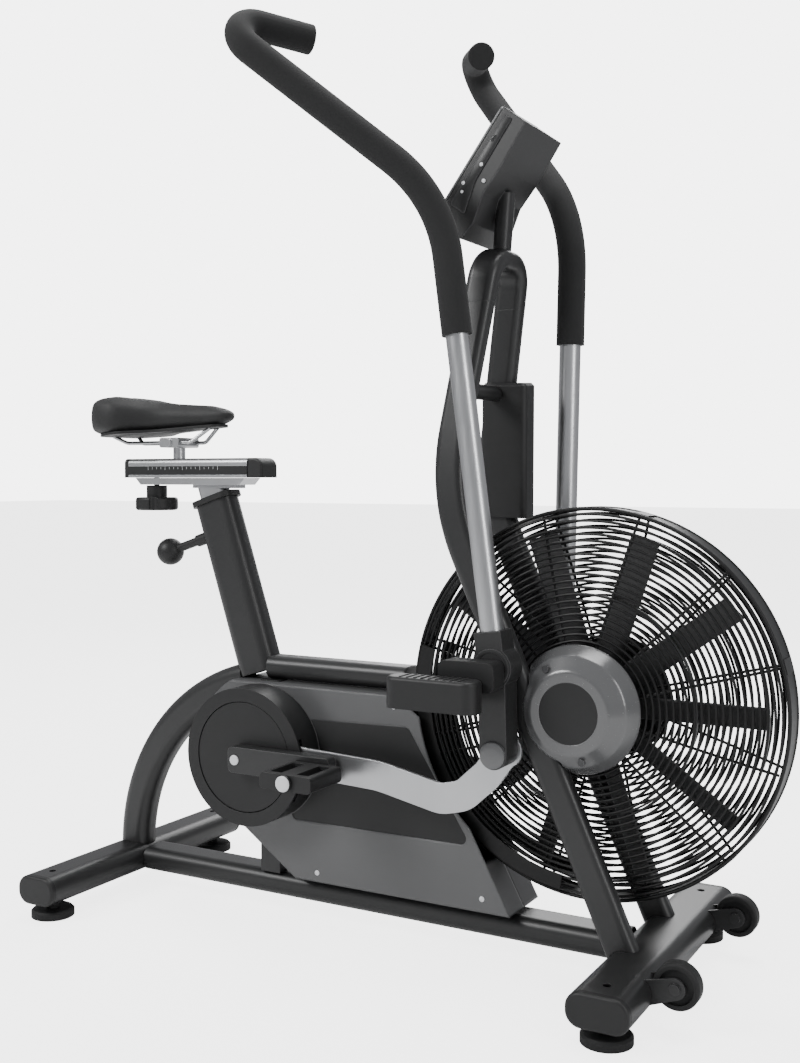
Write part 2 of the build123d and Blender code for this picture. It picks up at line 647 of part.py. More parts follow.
def pull_pin():
    """A spring pin with a ball grip, square to the seat tube and just short of the post."""
    tip = seat_point(-PIN_DROP, -POST_DEPTH / 2 - RAIL_GAP)
    wall = (SEAT_TUBE_DEPTH - POST_DEPTH) / 2 - RAIL_GAP
    stem_start = BARREL_LENGTH + MOVE_GAP
    pin = extrude(Plane(tip, z_dir=SEAT_BACK) * Circle(PIN_RADIUS_THIN), amount=wall + PIN_REACH)
    stem_at = seat_point(-PIN_DROP, -SEAT_TUBE_DEPTH / 2 - stem_start)
    stem = extrude(Plane(stem_at, z_dir=SEAT_BACK) * Circle(PIN_STEM_RADIUS), amount=PIN_REACH - stem_start)
    ball = Pos(*seat_point(-PIN_DROP, -SEAT_TUBE_DEPTH / 2 - PIN_REACH)) * Sphere(BALL_RADIUS)
    return pin + stem + ball


def pin_barrel():
    """The threaded barrel welded to the tube, which guides the pin."""
    plane = Plane(seat_point(-PIN_DROP, -SEAT_TUBE_DEPTH / 2), z_dir=SEAT_BACK)
    wall = Circle(BARREL_RADIUS) - Circle(PIN_RADIUS_THIN + RUNNING_GAP)
    return extrude(plane * wall, amount=BARREL_LENGTH)


# ---------------------------------------------------------------- saddle slide
def slide_base():
    """The lower channel on the post, with chamfered ends and the knob's hole."""
    low = SLIDE_BOTTOM - BASE_HEIGHT
    top = SLIDE_BOTTOM - RAIL_GAP
    half = SLIDE_WIDTH / 2 - BAND_DEPTH
    profile = make_face(Polyline(
        (BASE_X[0], top), (BASE_X[1], top), (BASE_X[1] - BASE_CHAMFER, low), (BASE_X[0] + BASE_CHAMFER, low),
        close=True,
    ))
    base = prism_y(profile, -half, half)
    return base - Pos(KNOB_X, 0, SLIDE_BOTTOM) * Cylinder(KNOB_SCREW_RADIUS + RUNNING_GAP, BASE_HEIGHT * 4)


def slide_rail():
    """The moving rail, open below as a T-slot that the knob's screw clamps in."""
    half = SLIDE_WIDTH / 2
    top = SLIDE_BOTTOM + SLIDE_HEIGHT
    rail = block(SLIDE_X, (-half, half), (SLIDE_BOTTOM, top))
    rail = fillet(rail.edges().filter_by(Axis.X).group_by(Axis.Z)[-1], SLIDE_ROUND)
    for side in (-1, 1):
        rail -= Pos(0, side * (half - BAND_DEPTH / 2), 0) * slide_band()
    rail -= block(SLIDE_X, (-T_NECK, T_NECK), (SLIDE_BOTTOM, SLIDE_BOTTOM + T_DEPTHS[0]))
    rail -= block(SLIDE_X, (-T_HEAD, T_HEAD), (SLIDE_BOTTOM + T_DEPTHS[0], SLIDE_BOTTOM + T_DEPTHS[1]))
    seat = Pos(SADDLE_POST_X, 0, top) * Cylinder(SADDLE_POST_RADIUS, 2 * SADDLE_POST_SEAT)
    return rail - seat


def slide_band():
    """A scale strip on the middle plane, as deep as its groove."""
    low = SLIDE_BOTTOM + (SLIDE_HEIGHT - SLIDE_ROUND - SLIDE_BAND) / 2
    return block(SLIDE_X, (-BAND_DEPTH / 2, BAND_DEPTH / 2), (low, low + SLIDE_BAND))


def slide_trim():
    """Both end caps and both scale strips."""
    half = SLIDE_WIDTH / 2
    z = (SLIDE_BOTTOM, SLIDE_BOTTOM + SLIDE_HEIGHT)
    front = block((SLIDE_X[1], SLIDE_X[1] + SLIDE_CAP_FRONT), (-half, half), z)
    front = fillet(front.faces().sort_by(Axis.X)[-1].edges().group_by(Axis.Z)[-1], SLIDE_CAP_FRONT / 2)
    front = fillet(front.edges().filter_by(Axis.Z), SLIDE_CAP_REAR / 2)
    rear = block((SLIDE_X[0] - SLIDE_CAP_REAR, SLIDE_X[0]), (-half, half), z)
    rear = fillet(rear.faces().sort_by(Axis.X)[0].edges().group_by(Axis.Z)[-1], SLIDE_CAP_REAR - 1)
    strip = Pos(0, half - BAND_DEPTH / 2, 0) * slide_band()
    return group([front, rear, strip, other_side(strip)])


def clamp_knob():
    """The fluted knob under the rail, and its screw with a head in the T-slot."""
    neck_top = SLIDE_BOTTOM - BASE_HEIGHT - MOVE_GAP
    neck = Pos(KNOB_X, 0, neck_top - KNOB_NECK / 2) * Cylinder(KNOB_NECK_RADIUS, KNOB_NECK)
    middle = neck_top - KNOB_NECK - KNOB_HEIGHT / 2
    grip = Pos(KNOB_X, 0, middle) * Cylinder(KNOB_RADIUS, KNOB_HEIGHT)
    grip = fillet(grip.edges(), KNOB_HEIGHT / 5)
    flute = Pos(KNOB_RADIUS + KNOB_FLUTE_RADIUS / 2, 0, 0) * Cylinder(KNOB_FLUTE_RADIUS, 2 * KNOB_HEIGHT)
    for turn in range(KNOB_LOBES):
        grip -= Pos(KNOB_X, 0, middle) * Rot(0, 0, turn * 360 / KNOB_LOBES) * flute
    head_low = SLIDE_BOTTOM + T_DEPTHS[0] + MOVE_GAP
    head_top = SLIDE_BOTTOM + T_DEPTHS[1] - MOVE_GAP
    screw = Pos(KNOB_X, 0, (neck_top + head_low) / 2) * Cylinder(KNOB_SCREW_RADIUS, head_low - neck_top)
    head = Pos(KNOB_X, 0, (head_low + head_top) / 2) * Cylinder(T_HEAD - 2 * MOVE_GAP, head_top - head_low)
    return neck + grip + screw + head


# ---------------------------------------------------------------- saddle
def saddle_outline(scale=1.0):
    """The saddle from above: broad tail, waist and narrow nose."""
    side = (
        (SADDLE_TAIL_X, SADDLE_TAIL_HALF), (SADDLE_WIDE_X, SADDLE_WIDE_HALF),
        (SADDLE_WAIST_X, SADDLE_WAIST_HALF), (SADDLE_NOSE_X, SADDLE_NOSE_HALF),
    )
    middle = (SADDLE_TAIL_X + SADDLE_NOSE_X) / 2
    left = [(middle + (x - middle) * scale, y * scale) for x, y in side]
    right = [(x, -y) for x, y in reversed(left)]
    rounds = [r * scale for r in SADDLE_ROUNDS + SADDLE_ROUNDS[::-1]]
    return make_face(FilletPolyline(*left, *right, radius=rounds, close=True))


def saddle_bottom(x):
    """Height of the pad's underside along the saddle."""
    tail, nose = SADDLE_BOTTOM
    return tail + (nose - tail) * (x - SADDLE_TAIL_X) / (SADDLE_NOSE_X - SADDLE_TAIL_X)


def saddle_pad():
    """A plain cushion with the saddle's outline from above and from the side."""
    plan = Pos(0, 0, SADDLE_BOTTOM[0]) * extrude(saddle_outline(), amount=SADDLE_CROWN_Z - SADDLE_BOTTOM[0])
    side = make_face(Polyline(
        (SADDLE_TAIL_X, SADDLE_BOTTOM[0]), (SADDLE_NOSE_X, SADDLE_BOTTOM[1]), (SADDLE_NOSE_X, SADDLE_NOSE_Z),
        (SADDLE_DIP_X, SADDLE_DIP_Z), (SADDLE_CROWN_X, SADDLE_CROWN_Z), (SADDLE_TAIL_X, SADDLE_TAIL_Z),
        close=True,
    ))
    return plan & prism_y(side, -SADDLE_WIDE_HALF, SADDLE_WIDE_HALF)


def saddle_shell():
    """The hard plate under the pad."""
    low = SADDLE_BOTTOM[0] - SHELL_THICKNESS
    plan = Pos(0, 0, low) * extrude(saddle_outline(SHELL_INSET), amount=SADDLE_BOTTOM[1] - low)
    ends = ((SADDLE_TAIL_X, SADDLE_BOTTOM[0]), (SADDLE_NOSE_X, SADDLE_BOTTOM[1]))
    top = [(x, z - SEAT_GAP) for x, z in ends]
    under = [(x, z - SHELL_THICKNESS) for x, z in reversed(ends)]
    band = make_face(Polyline(*top, *under, close=True))
    return plan & prism_y(band, -SADDLE_WIDE_HALF, SADDLE_WIDE_HALF)


def saddle_wires():
    """Two wire rails under the saddle, held by the clamp."""
    tail_x = SADDLE_TAIL_X + SHELL_THICKNESS * 8
    nose_x = SADDLE_NOSE_X - SHELL_THICKNESS * 9
    sink = SHELL_THICKNESS
    path = FilletPolyline(
        (tail_x, WIRE_Y * 1.6, saddle_bottom(tail_x) - sink),
        (tail_x + JAW_X, WIRE_Y, WIRE_Z),
        (SADDLE_POST_X + 2 * JAW_X, WIRE_Y, WIRE_Z),
        (nose_x, WIRE_Y / 2, saddle_bottom(nose_x) - sink),
        radius=WIRE_ROUND,
    )
    wire = sweep(circle_on(path, WIRE_RADIUS), path=path)
    return group([wire, other_side(wire)])


def clamp_bolt():
    """The cross bolt through the saddle clamp, with a head at each end."""
    rod = cyl_y(CLAMP_BOLT_RADIUS, SADDLE_POST_X, WIRE_Z, -JAW_Y, JAW_Y)
    head = cyl_y(CLAMP_BOLT_RADIUS * 1.8, SADDLE_POST_X, WIRE_Z, JAW_Y, JAW_Y + CLAMP_BOLT_RADIUS)
    return rod + head + other_side(head)


def saddle_clamp():
    """The saddle's post and the jaws that hold the wires, with their bolt."""
    foot_z = SLIDE_BOTTOM + SLIDE_HEIGHT - SADDLE_POST_SEAT
    stem = Pos(SADDLE_POST_X, 0, (foot_z + WIRE_Z) / 2) * Cylinder(SADDLE_POST_RADIUS, WIRE_Z - foot_z)
    jaw = block(
        (SADDLE_POST_X - JAW_X, SADDLE_POST_X + JAW_X), (-JAW_Y, JAW_Y), (WIRE_Z - JAW_Z, WIRE_Z + JAW_Z)
    )
    body = stem + fillet(jaw.edges().filter_by(Axis.Y), JAW_Z / 2)
    for y in (-WIRE_Y, WIRE_Y):
        body -= Pos(SADDLE_POST_X, y, WIRE_Z) * Rot(0, 90, 0) * Cylinder(WIRE_RADIUS, 4 * JAW_X)
    bolt = clamp_bolt()
    for y in (-WIRE_Y, WIRE_Y):
        bolt -= Pos(SADDLE_POST_X, y, WIRE_Z) * Rot(0, 90, 0) * Cylinder(WIRE_RADIUS, 4 * JAW_X)
    return group([body - clamp_bolt(), bolt])


def seat():
    add("seat_tube_fittings", group([seat_collar(), pin_barrel()]))
    add("seat_post", seat_post())
    add("pull_pin", pull_pin())
    add("slide_base", slide_base())
    add("slide_rail", slide_rail())
    add("slide_trim", slide_trim())
    add("clamp_knob", clamp_knob())
    add("saddle_clamp", saddle_clamp())
    wires = saddle_wires()
    add("saddle_wires", wires)
    add("saddle_shell", saddle_shell() - wires)
    add("saddle_pad", saddle_pad())


# ---------------------------------------------------------------- legs and mast
def mast_path():
    """The middle line of the legs and mast, from foot to foot over the fan."""
    left = (
        (leg_x(STABILISER_Z), LEG_Y, STABILISER_Z),
        (MAST_BEND_X, LEG_Y, MAST_BEND_Z),
        (MAST_TOP_X, MAST_TOP_Y, MAST_TOP_Z),
    )
    right = tuple((x, -y, z) for x, y, z in reversed(left))
    radii = (MAST_BEND_RADIUS, CROWN_RADIUS, CROWN_RADIUS, MAST_BEND_RADIUS)
    return FilletPolyline(*left, *right, radius=radii)


def limb_at(z):
    """Where the middle of the left limb is at a height above the bend."""
    share = (z - MAST_BEND_Z) / (MAST_TOP_Z - MAST_BEND_Z)
    return (MAST_BEND_X + (MAST_TOP_X - MAST_BEND_X) * share, LEG_Y + (MAST_TOP_Y - LEG_Y) * share)


def legs_and_mast():
    path = mast_path()
    tube = bent_tube(path, LEG_DEPTH, LEG_WIDTH)
    foot = stabiliser_section(WHEELBASE, FRONT_STABILISER_DEPTH)
    tube -= prism_y(foot, -STABILISER_LENGTH / 2, STABILISER_LENGTH / 2)
    tube -= cyl_y(LEVER_AXLE_RADIUS, PIVOT_X, PIVOT_Z, -LEG_OUTER_Y, -axle_start())
    tube -= cyl_y(LEVER_AXLE_RADIUS, PIVOT_X, PIVOT_Z, axle_start(), LEG_OUTER_Y)
    reach = LEG_FOOT_X * 2
    low = block((0, reach), (0, LEG_OUTER_Y + LEG_WIDTH), (STABILISER_Z, CROWN_SPLIT_Z))
    add_pair("mast", max((tube & low).solids(), key=lambda solid: solid.volume))
    high = block((0, reach), (-LEG_OUTER_Y, LEG_OUTER_Y), (CROWN_SPLIT_Z, MAST_TOP_Z + LEG_DEPTH))
    x, y = limb_at(BRACE_Z)
    brace = cyl_y(BRACE_RADIUS, x, BRACE_Z, -y, y) - mast_outside(path)
    add("mast_crown", group([tube & high, brace]))
    brace_room = cyl_y(BRACE_RADIUS + SEAT_GAP, x, BRACE_Z, -y, y)
    add("limb_sleeve", limb_sleeve() - mast_outside(path) - brace_room)


def mast_outside(path):
    """The solid outline of the legs and mast."""
    section = bar_section(tuple(path @ 0), tuple(path % 0), LEG_DEPTH, LEG_WIDTH)
    return sweep(section, path=path)


def limb_sleeve():
    """A moulded cover around the left limb, below the brace."""
    low = Vector(*SLEEVE_LOW)
    axis = Vector(*SLEEVE_HIGH) - low
    plane = Plane(low, x_dir=(axis.Z, 0, -axis.X), z_dir=tuple(axis))
    sleeve = extrude(plane * RectangleRounded(SLEEVE_DEPTH, SLEEVE_WIDTH, SLEEVE_CORNER), amount=axis.length)
    return chamfer(sleeve.faces().sort_by(Axis.Z)[-1].edges(), SLEEVE_CHAMFER)


# ---------------------------------------------------------------- fan
def axle_plates():
    """The plates that carry the fan axle, welded to the legs' inner faces."""
    ends = [Pos(leg_x(FAN_Z + dz), FAN_Z + dz) * Circle(AXLE_PLATE_FOOT) for dz in AXLE_PLATE_ENDS]
    eye = Pos(FAN_X, FAN_Z) * Circle(AXLE_PLATE_EYE)
    profile = make_hull(ends[0].edges() + ends[1].edges() + eye.edges())
    plate = prism_y(profile - Pos(FAN_X, FAN_Z) * Circle(FAN_AXLE_RADIUS), PLATE_Y, LEG_INNER_Y)
    return group([plate, other_side(plate)])


def fan_blades():
    """Ten pitched paddles, an outer hoop and a middle hoop."""
    middle = (BLADE_Y[0] + BLADE_Y[1]) / 2
    tip = FAN_RADIUS - FAN_HOOP
    plate = Pos(tip / 2, 0, 0) * Rot(FAN_BLADE_PITCH, 0, 0) * Box(tip, FAN_BLADE_THICKNESS, FAN_BLADE_CHORD)
    room = cyl_y(tip, 0, 0, BLADE_Y[0] - middle, BLADE_Y[1] - middle)
    plate &= room - cyl_y(FAN_HUB_RADIUS, 0, 0, -FAN_BLADE_WIDTH, FAN_BLADE_WIDTH)
    turns = [Pos(FAN_X, middle, FAN_Z) * Rot(0, -360 / FAN_BLADES * i, 0) for i in range(FAN_BLADES)]
    outer = ring_y(FAN_RADIUS, tip, FAN_X, FAN_Z, BLADE_Y[0], BLADE_Y[0] + FAN_HOOP_WIDTH)
    inner_radius = FAN_MIDDLE_HOOP_RADIUS - FAN_HOOP
    inner_y = (BLADE_Y[0] - FAN_HOOP_WIDTH, BLADE_Y[0])
    inner = ring_y(FAN_MIDDLE_HOOP_RADIUS, inner_radius, FAN_X, FAN_Z, *inner_y)
    return group([turn * plate for turn in turns] + [outer, inner])


def fan_hub():
    """The hub with its bearing seats, the blade disc and the fan's pulley."""
    half = FAN_HUB_HALF_WIDTH
    hub = cyl_y(FAN_BARREL_RADIUS, FAN_X, FAN_Z, -half, half)
    hub += cyl_y(FAN_HUB_RADIUS, FAN_X, FAN_Z, *BLADE_Y)
    hub -= cyl_y(FAN_AXLE_RADIUS + WALL, FAN_X, FAN_Z, -half, half)
    hub -= cyl_y(BEARING_RADIUS, FAN_X, FAN_Z, half - BEARING_WIDTH, half)
    hub -= cyl_y(BEARING_RADIUS, FAN_X, FAN_Z, -half, BEARING_WIDTH - half)
    pulley = ring_y(FAN_PULLEY_RADIUS, FAN_BARREL_RADIUS, FAN_X, FAN_Z, *PULLEY_Y)
    left = ring_y(BEARING_RADIUS, FAN_AXLE_RADIUS + RUNNING_GAP, FAN_X, FAN_Z, half - BEARING_WIDTH, half)
    return group([hub, pulley, left, other_side(left)])


def axle_nuts():
    """Spacers between the bearings and the plates, and the nuts on the axle's ends."""
    start = FAN_HUB_HALF_WIDTH + MOVE_GAP
    spacer = ring_y(AXLE_SPACER_RADIUS, FAN_AXLE_RADIUS, FAN_X, FAN_Z, start, PLATE_Y)
    outline = Pos(FAN_X, FAN_Z) * (RegularPolygon(AXLE_NUT_RADIUS, 6) - Circle(FAN_AXLE_RADIUS))
    nut = prism_y(outline, LEG_INNER_Y, LEG_INNER_Y + AXLE_NUT)
    return group([spacer, other_side(spacer), nut, other_side(nut)])


def cover_body(inset):
    """The domed solid of a hub cover, smaller all over by an inset."""
    rim_y = LEG_INNER_Y + MOVE_GAP
    top = HUB_COVER_Y - inset
    shoulder = (HUB_SHOULDER[0] - inset, HUB_SHOULDER[1] - inset)
    dome = FilletPolyline(
        (0, top), (HUB_FACE_RADIUS - inset, top), shoulder, (HUB_COVER_RADIUS - inset, rim_y),
        radius=HUB_COVER_ROUND,
    )
    face = make_face(dome + Polyline((HUB_COVER_RADIUS - inset, rim_y), (0, rim_y), (0, top)))
    return Pos(FAN_X, 0, FAN_Z) * revolve(face, axis=Axis.Y)


def leg_room():
    """The room that a leg takes where it passes through a hub cover."""
    reach = 2 * HUB_COVER_RADIUS
    tilt = degrees(atan2(1, -LEG_SLOPE))
    profile = Pos(leg_x(FAN_Z), FAN_Z) * Rot(0, 0, tilt) * Rectangle(2 * reach, LEG_DEPTH + 2 * SEAT_GAP)
    return prism_y(profile, LEG_INNER_Y, LEG_OUTER_Y + SEAT_GAP)


def hub_screw_places():
    return [
        (FAN_X + HUB_SCREW_CIRCLE * cos(radians(a)), FAN_Z + HUB_SCREW_CIRCLE * sin(radians(a)))
        for a in HUB_SCREW_ANGLES
    ]


def hub_slope_y(radius):
    """How far out the cover's slope stands, between its shoulder and its face."""
    share = (radius - HUB_FACE_RADIUS) / (HUB_SHOULDER[0] - HUB_FACE_RADIUS)
    return HUB_COVER_Y - share * (HUB_COVER_Y - HUB_SHOULDER[1])


def hub_cover():
    """A domed cover over the axle's end, open where the leg passes."""
    cover = cover_body(0) - cover_body(HUB_COVER_WALL)
    cover -= leg_room()
    badge_y = HUB_COVER_Y - BADGE_DEPTH
    cover -= cyl_y(HUB_BADGE_RADIUS + SEAT_GAP, FAN_X, FAN_Z, badge_y, HUB_COVER_Y)
    for x, z in hub_screw_places():
        cover -= cyl_y(HUB_SCREW_RADIUS + SEAT_GAP, x, z, LEG_OUTER_Y, HUB_COVER_Y)
    return max(cover.solids(), key=lambda solid: solid.volume)


def hub_screws():
    """Two screws in each hub cover, their heads against its slope."""
    screws = []
    seat = hub_slope_y(HUB_SCREW_CIRCLE - HUB_SCREW_HEAD) + SEAT_GAP
    for x, z in hub_screw_places():
        shank = cyl_y(HUB_SCREW_RADIUS, x, z, seat - HUB_SCREW_LENGTH, seat)
        head = cyl_y(HUB_SCREW_HEAD, x, z, seat, seat + HUB_SCREW_RADIUS)
        screws.append(shank + head)
    return group(screws + [other_side(screw) for screw in screws])


# ---------------------------------------------------------------- guard
def dish_ball():
    """Radius and centre of the ball that a guard side is part of."""
    rise = GUARD_HUB_Y - GUARD_HALF_WIDTH
    span = (GUARD_RADIUS**2 - GUARD_INNER_RADIUS**2 + rise**2) / (2 * rise)
    return hypot(span, GUARD_INNER_RADIUS), GUARD_HUB_Y - span


def dish_y(r, inset=0.0):
    """How far out a guard side stands at a distance from the fan's axis."""
    radius, centre = dish_ball()
    return centre + sqrt((radius - inset) ** 2 - r**2)


def guard_ring(radius):
    """A ring of eight-sided wire about the fan's axis."""
    section = Plane.XZ * Pos(radius, 0) * RegularPolygon(GUARD_WIRE_RADIUS, GUARD_WIRE_SIDES)
    return Pos(FAN_X, dish_y(radius), FAN_Z) * Rot(90, 0, 0) * revolve(section, Axis.Z)


def guard_side():
    """Rings lying on twelve bowed spokes."""
    step = (GUARD_OUTER_RING - GUARD_INNER_RADIUS) / (GUARD_RINGS - 1)
    wires = []
    for i in range(GUARD_RINGS):
        r = GUARD_INNER_RADIUS + i * step
        wires.append(guard_ring(r))
    drop = GUARD_WIRE_RADIUS + GUARD_SPOKE_RADIUS
    end = GUARD_RADIUS - GUARD_EDGE_RADIUS - GUARD_SPOKE_RADIUS / 3
    stations = (GUARD_INNER_RADIUS - drop, (GUARD_INNER_RADIUS + end) / 2, end)
    path = ThreePointArc(*[(r, dish_y(r, drop), 0) for r in stations])
    spoke = sweep(circle_on(path, GUARD_SPOKE_RADIUS), path=path)
    for i in range(GUARD_SPOKES):
        wires.append(Pos(FAN_X, 0, FAN_Z) * Rot(0, -360 / GUARD_SPOKES * (i + 0.5), 0) * spoke)
    return group(wires)


def belt_window():
    """The room in the rim that the belt runs through."""
    angle = degrees(atan2(CRANK_Z - FAN_Z, CRANK_X - FAN_X))
    window = Pos(GUARD_RADIUS, 0) * Rectangle(BELT_WINDOW / 4, BELT_WINDOW)
    room = Pos(FAN_X, FAN_Z) * Rot(0, 0, angle) * window
    return prism_y(room, BELT_Y - BELT_WIDTH / 2 - BELT_ROOM, BELT_Y + BELT_WIDTH / 2 + BELT_ROOM)


def sector(outer, inner, start, end):
    """A ring sector about the fan axis, with angles from +X towards +Z."""
    reach = outer * 3
    spread = radians(end - start) / 2
    wedge = make_face(Polyline(
        (0, 0), (reach * cos(spread), -reach * sin(spread)), (reach * 2, 0),
        (reach * cos(spread), reach * sin(spread)), close=True,
    ))
    return Pos(FAN_X, FAN_Z) * Rot(0, 0, (start + end) / 2) * (wedge & (Circle(outer) - Circle(inner)))


def guard_rim():
    """The rolled band with a wire at each edge, the clips over it and the rear skirts."""
    edge_y = GUARD_HALF_WIDTH - GUARD_EDGE_RADIUS
    edge = Pos(FAN_X, edge_y, FAN_Z) * Rot(90, 0, 0) * Torus(GUARD_RADIUS, GUARD_EDGE_RADIUS)
    half = edge_y - GUARD_EDGE_RADIUS
    outer = GUARD_RADIUS + GUARD_BAND / 2
    band = ring_y(outer, outer - GUARD_BAND, FAN_X, FAN_Z, -half, half) - belt_window()
    skirt_y = dish_y(SKIRT_INNER_RADIUS) + GUARD_WIRE_RADIUS + SEAT_GAP
    skirt = sector(GUARD_OUTER_RING, SKIRT_INNER_RADIUS, *SKIRT_ANGLES)
    plate = prism_y(skirt, skirt_y, skirt_y + SKIRT_THICKNESS)
    clip_x = (outer, outer + CLIP_THICKNESS)
    clip = block(clip_x, (-half, half), (-CLIP_WIDTH / 2, CLIP_WIDTH / 2)) - cyl_y(outer, 0, 0, -half, half)
    places = [Pos(FAN_X, 0, FAN_Z) * Rot(0, -CLIP_ANGLE - 360 / CLIPS * i, 0) for i in range(CLIPS)]
    clips = [place * clip for place in places]
    return group([edge, other_side(edge), band, plate, other_side(plate)] + clips)


def fan_and_guard():
    add("axle_plates", axle_plates())
    add("fan_blades", fan_blades())
    add("fan_hub", fan_hub())
    add("fan_axle", cyl_y(FAN_AXLE_RADIUS, FAN_X, FAN_Z, -LEG_OUTER_Y + AXLE_NUT, LEG_OUTER_Y - AXLE_NUT))
    cover = hub_cover()
    screws = hub_screws()
    add("fan_fasteners", group([axle_nuts(), screws]))
    add("hub_covers", group([cover - screws, other_side(cover - screws)]))
    badge = cyl_y(HUB_BADGE_RADIUS, FAN_X, FAN_Z, HUB_COVER_Y - BADGE_DEPTH, HUB_COVER_Y)
    add("hub_badges", group([badge, other_side(badge)]))
    add_pair("guard_side", guard_side())
    add("guard_rim", guard_rim())


# ---------------------------------------------------------------- drive
def crank_axle():
    return cyl_y(CRANK_AXLE_RADIUS, CRANK_X, CRANK_Z, -WEB_Y - WEB_THICKNESS, WEB_Y + WEB_THICKNESS)


def crank_web(pin):
    """The web on the axle's end with the link pin, outward on +Y."""
    axis = Pos(CRANK_X, CRANK_Z) * Circle(WEB_RADIUS)
    eye = Pos(*pin) * Circle(WEB_RADIUS)
    profile = make_hull(axis.edges() + eye.edges()) - Pos(CRANK_X, CRANK_Z) * Circle(CRANK_AXLE_RADIUS)
    web_outer = WEB_Y + WEB_THICKNESS
    return prism_y(profile, WEB_Y, web_outer) + cyl_y(PIN_RADIUS, pin[0], pin[1], web_outer, BEZEL_Y)


def crank_disc():
    """The cover disc, in line with the bezel, that the link pin ends in."""
    return cyl_y(CRANK_DISC_RADIUS, CRANK_X, CRANK_Z, BEZEL_Y, BEZEL_Y + CRANK_DISC)


def crank_arm(way):
    """The outer arm with its bolt and the pedal's spindle, forward for a way of 1."""
    length = CRANK_REACH + CRANK_ARM_BACK + CRANK_ARM_HEIGHT / 2
    middle = CRANK_X + way * (length / 2 - CRANK_ARM_BACK)
    outline = Pos(middle, CRANK_Z) * RectangleRounded(length, CRANK_ARM_HEIGHT, CRANK_ARM_HEIGHT / 5)
    arm = prism_y(outline, ARM_Y, ARM_OUTER_Y)
    foot_outline = Pos(CRANK_X, CRANK_Z) * Circle(2 * WEB_RADIUS) & outline
    arm += prism_y(foot_outline, BEZEL_Y + CRANK_DISC, ARM_Y)
    end_x = CRANK_X + way * CRANK_REACH
    arm -= cyl_y(SPINDLE_RADIUS, end_x, CRANK_Z, ARM_Y, ARM_OUTER_Y)
    pedal_outer = PEDAL_Y + PEDAL_WIDTH + MOVE_GAP
    spindle = cyl_y(SPINDLE_RADIUS, end_x, CRANK_Z, ARM_Y, pedal_outer)
    spindle += cyl_y(SPINDLE_CAP_RADIUS, end_x, CRANK_Z, pedal_outer, pedal_outer + SPINDLE_CAP)
    bolt = cyl_y(CRANK_BOLT_RADIUS, CRANK_X, CRANK_Z, ARM_OUTER_Y, ARM_OUTER_Y + CRANK_BOLT)
    return group([arm, spindle, bolt])


def pedal(way):
    """A caged pedal: two end plates, two treads and a barrel on the spindle."""
    x = CRANK_X + way * CRANK_REACH
    low = CRANK_Z - PEDAL_HEIGHT / 2
    half = PEDAL_LENGTH / 2
    body = block((x - half, x + half), (PEDAL_Y, PEDAL_Y + PEDAL_WIDTH), (low, low + PEDAL_HEIGHT))
    body = fillet(body.edges().filter_by(Axis.Y), PEDAL_ROUND)
    barrel = 2 * SPINDLE_RADIUS
    inside = (PEDAL_Y + PEDAL_WALL, PEDAL_Y + PEDAL_WIDTH - PEDAL_WALL)
    body -= block((x - half + PEDAL_WALL, x - barrel), inside, (low, low + PEDAL_HEIGHT))
    body -= block((x + barrel, x + half - PEDAL_WALL), inside, (low, low + PEDAL_HEIGHT))
    return body - cyl_y(SPINDLE_RADIUS + RUNNING_GAP, x, CRANK_Z, PEDAL_Y, PEDAL_Y + PEDAL_WIDTH)


def drive_pulley():
    """The belt pulley with a recessed web."""
    pulley = ring_y(DRIVE_PULLEY_RADIUS, CRANK_AXLE_RADIUS, CRANK_X, CRANK_Z, *PULLEY_Y)
    rim = DRIVE_PULLEY_RADIUS - 2 * BELT_THICKNESS
    for start in (PULLEY_Y[0], PULLEY_Y[1] - BELT_THICKNESS):
        pulley -= ring_y(rim, SHELL_RADIUS, CRANK_X, CRANK_Z, start, start + BELT_THICKNESS)
    return pulley


def belt_outline(room):
    """The hull of both pulleys, larger by the room given."""
    drive = Pos(CRANK_X, CRANK_Z) * Circle(DRIVE_PULLEY_RADIUS + room)
    fan = Pos(FAN_X, FAN_Z) * Circle(FAN_PULLEY_RADIUS + room)
    return make_hull(drive.edges() + fan.edges())


def belt():
    outline = belt_outline(BELT_GAP + BELT_THICKNESS) - belt_outline(BELT_GAP)
    return prism_y(outline, BELT_Y - BELT_WIDTH / 2, BELT_Y + BELT_WIDTH / 2)


def bottom_bracket():
    """The shell on its post between rail and beam, and the two bearings in it."""
    post_z = (STABILISER_Z + RAIL_HEIGHT / 2, BEAM_Z - BEAM_HEIGHT / 2)
    post = block((CRANK_X - POST_X_HALF, CRANK_X + POST_X_HALF), POST_Y, post_z)
    shell = cyl_y(SHELL_RADIUS, CRANK_X, CRANK_Z, *SHELL_Y) + post
    shell -= cyl_y(BEARING_RADIUS, CRANK_X, CRANK_Z, *SHELL_Y)
    bore = CRANK_AXLE_RADIUS + RUNNING_GAP
    rings = [
        ring_y(BEARING_RADIUS, bore, CRANK_X, CRANK_Z, start, start + BEARING_WIDTH)
        for start in (SHELL_Y[0], SHELL_Y[1] - BEARING_WIDTH)
    ]
    return group([shell] + rings)


def drive():
    add("bottom_bracket", bottom_bracket())
    add("crank_axle", crank_axle())
    add("drive_pulley", drive_pulley())
    add("belt", belt())
    add("crank_webs", group([crank_web(PIN_LEFT), other_side(crank_web(PIN_RIGHT))]))
    disc = crank_disc()
    add("crank_discs", group([disc, other_side(disc)]))
    add("crank_arms", group([crank_arm(-1), other_side(crank_arm(1))]))
    add("pedal_left", pedal(-1))
    add("pedal_right", other_side(pedal(1)))


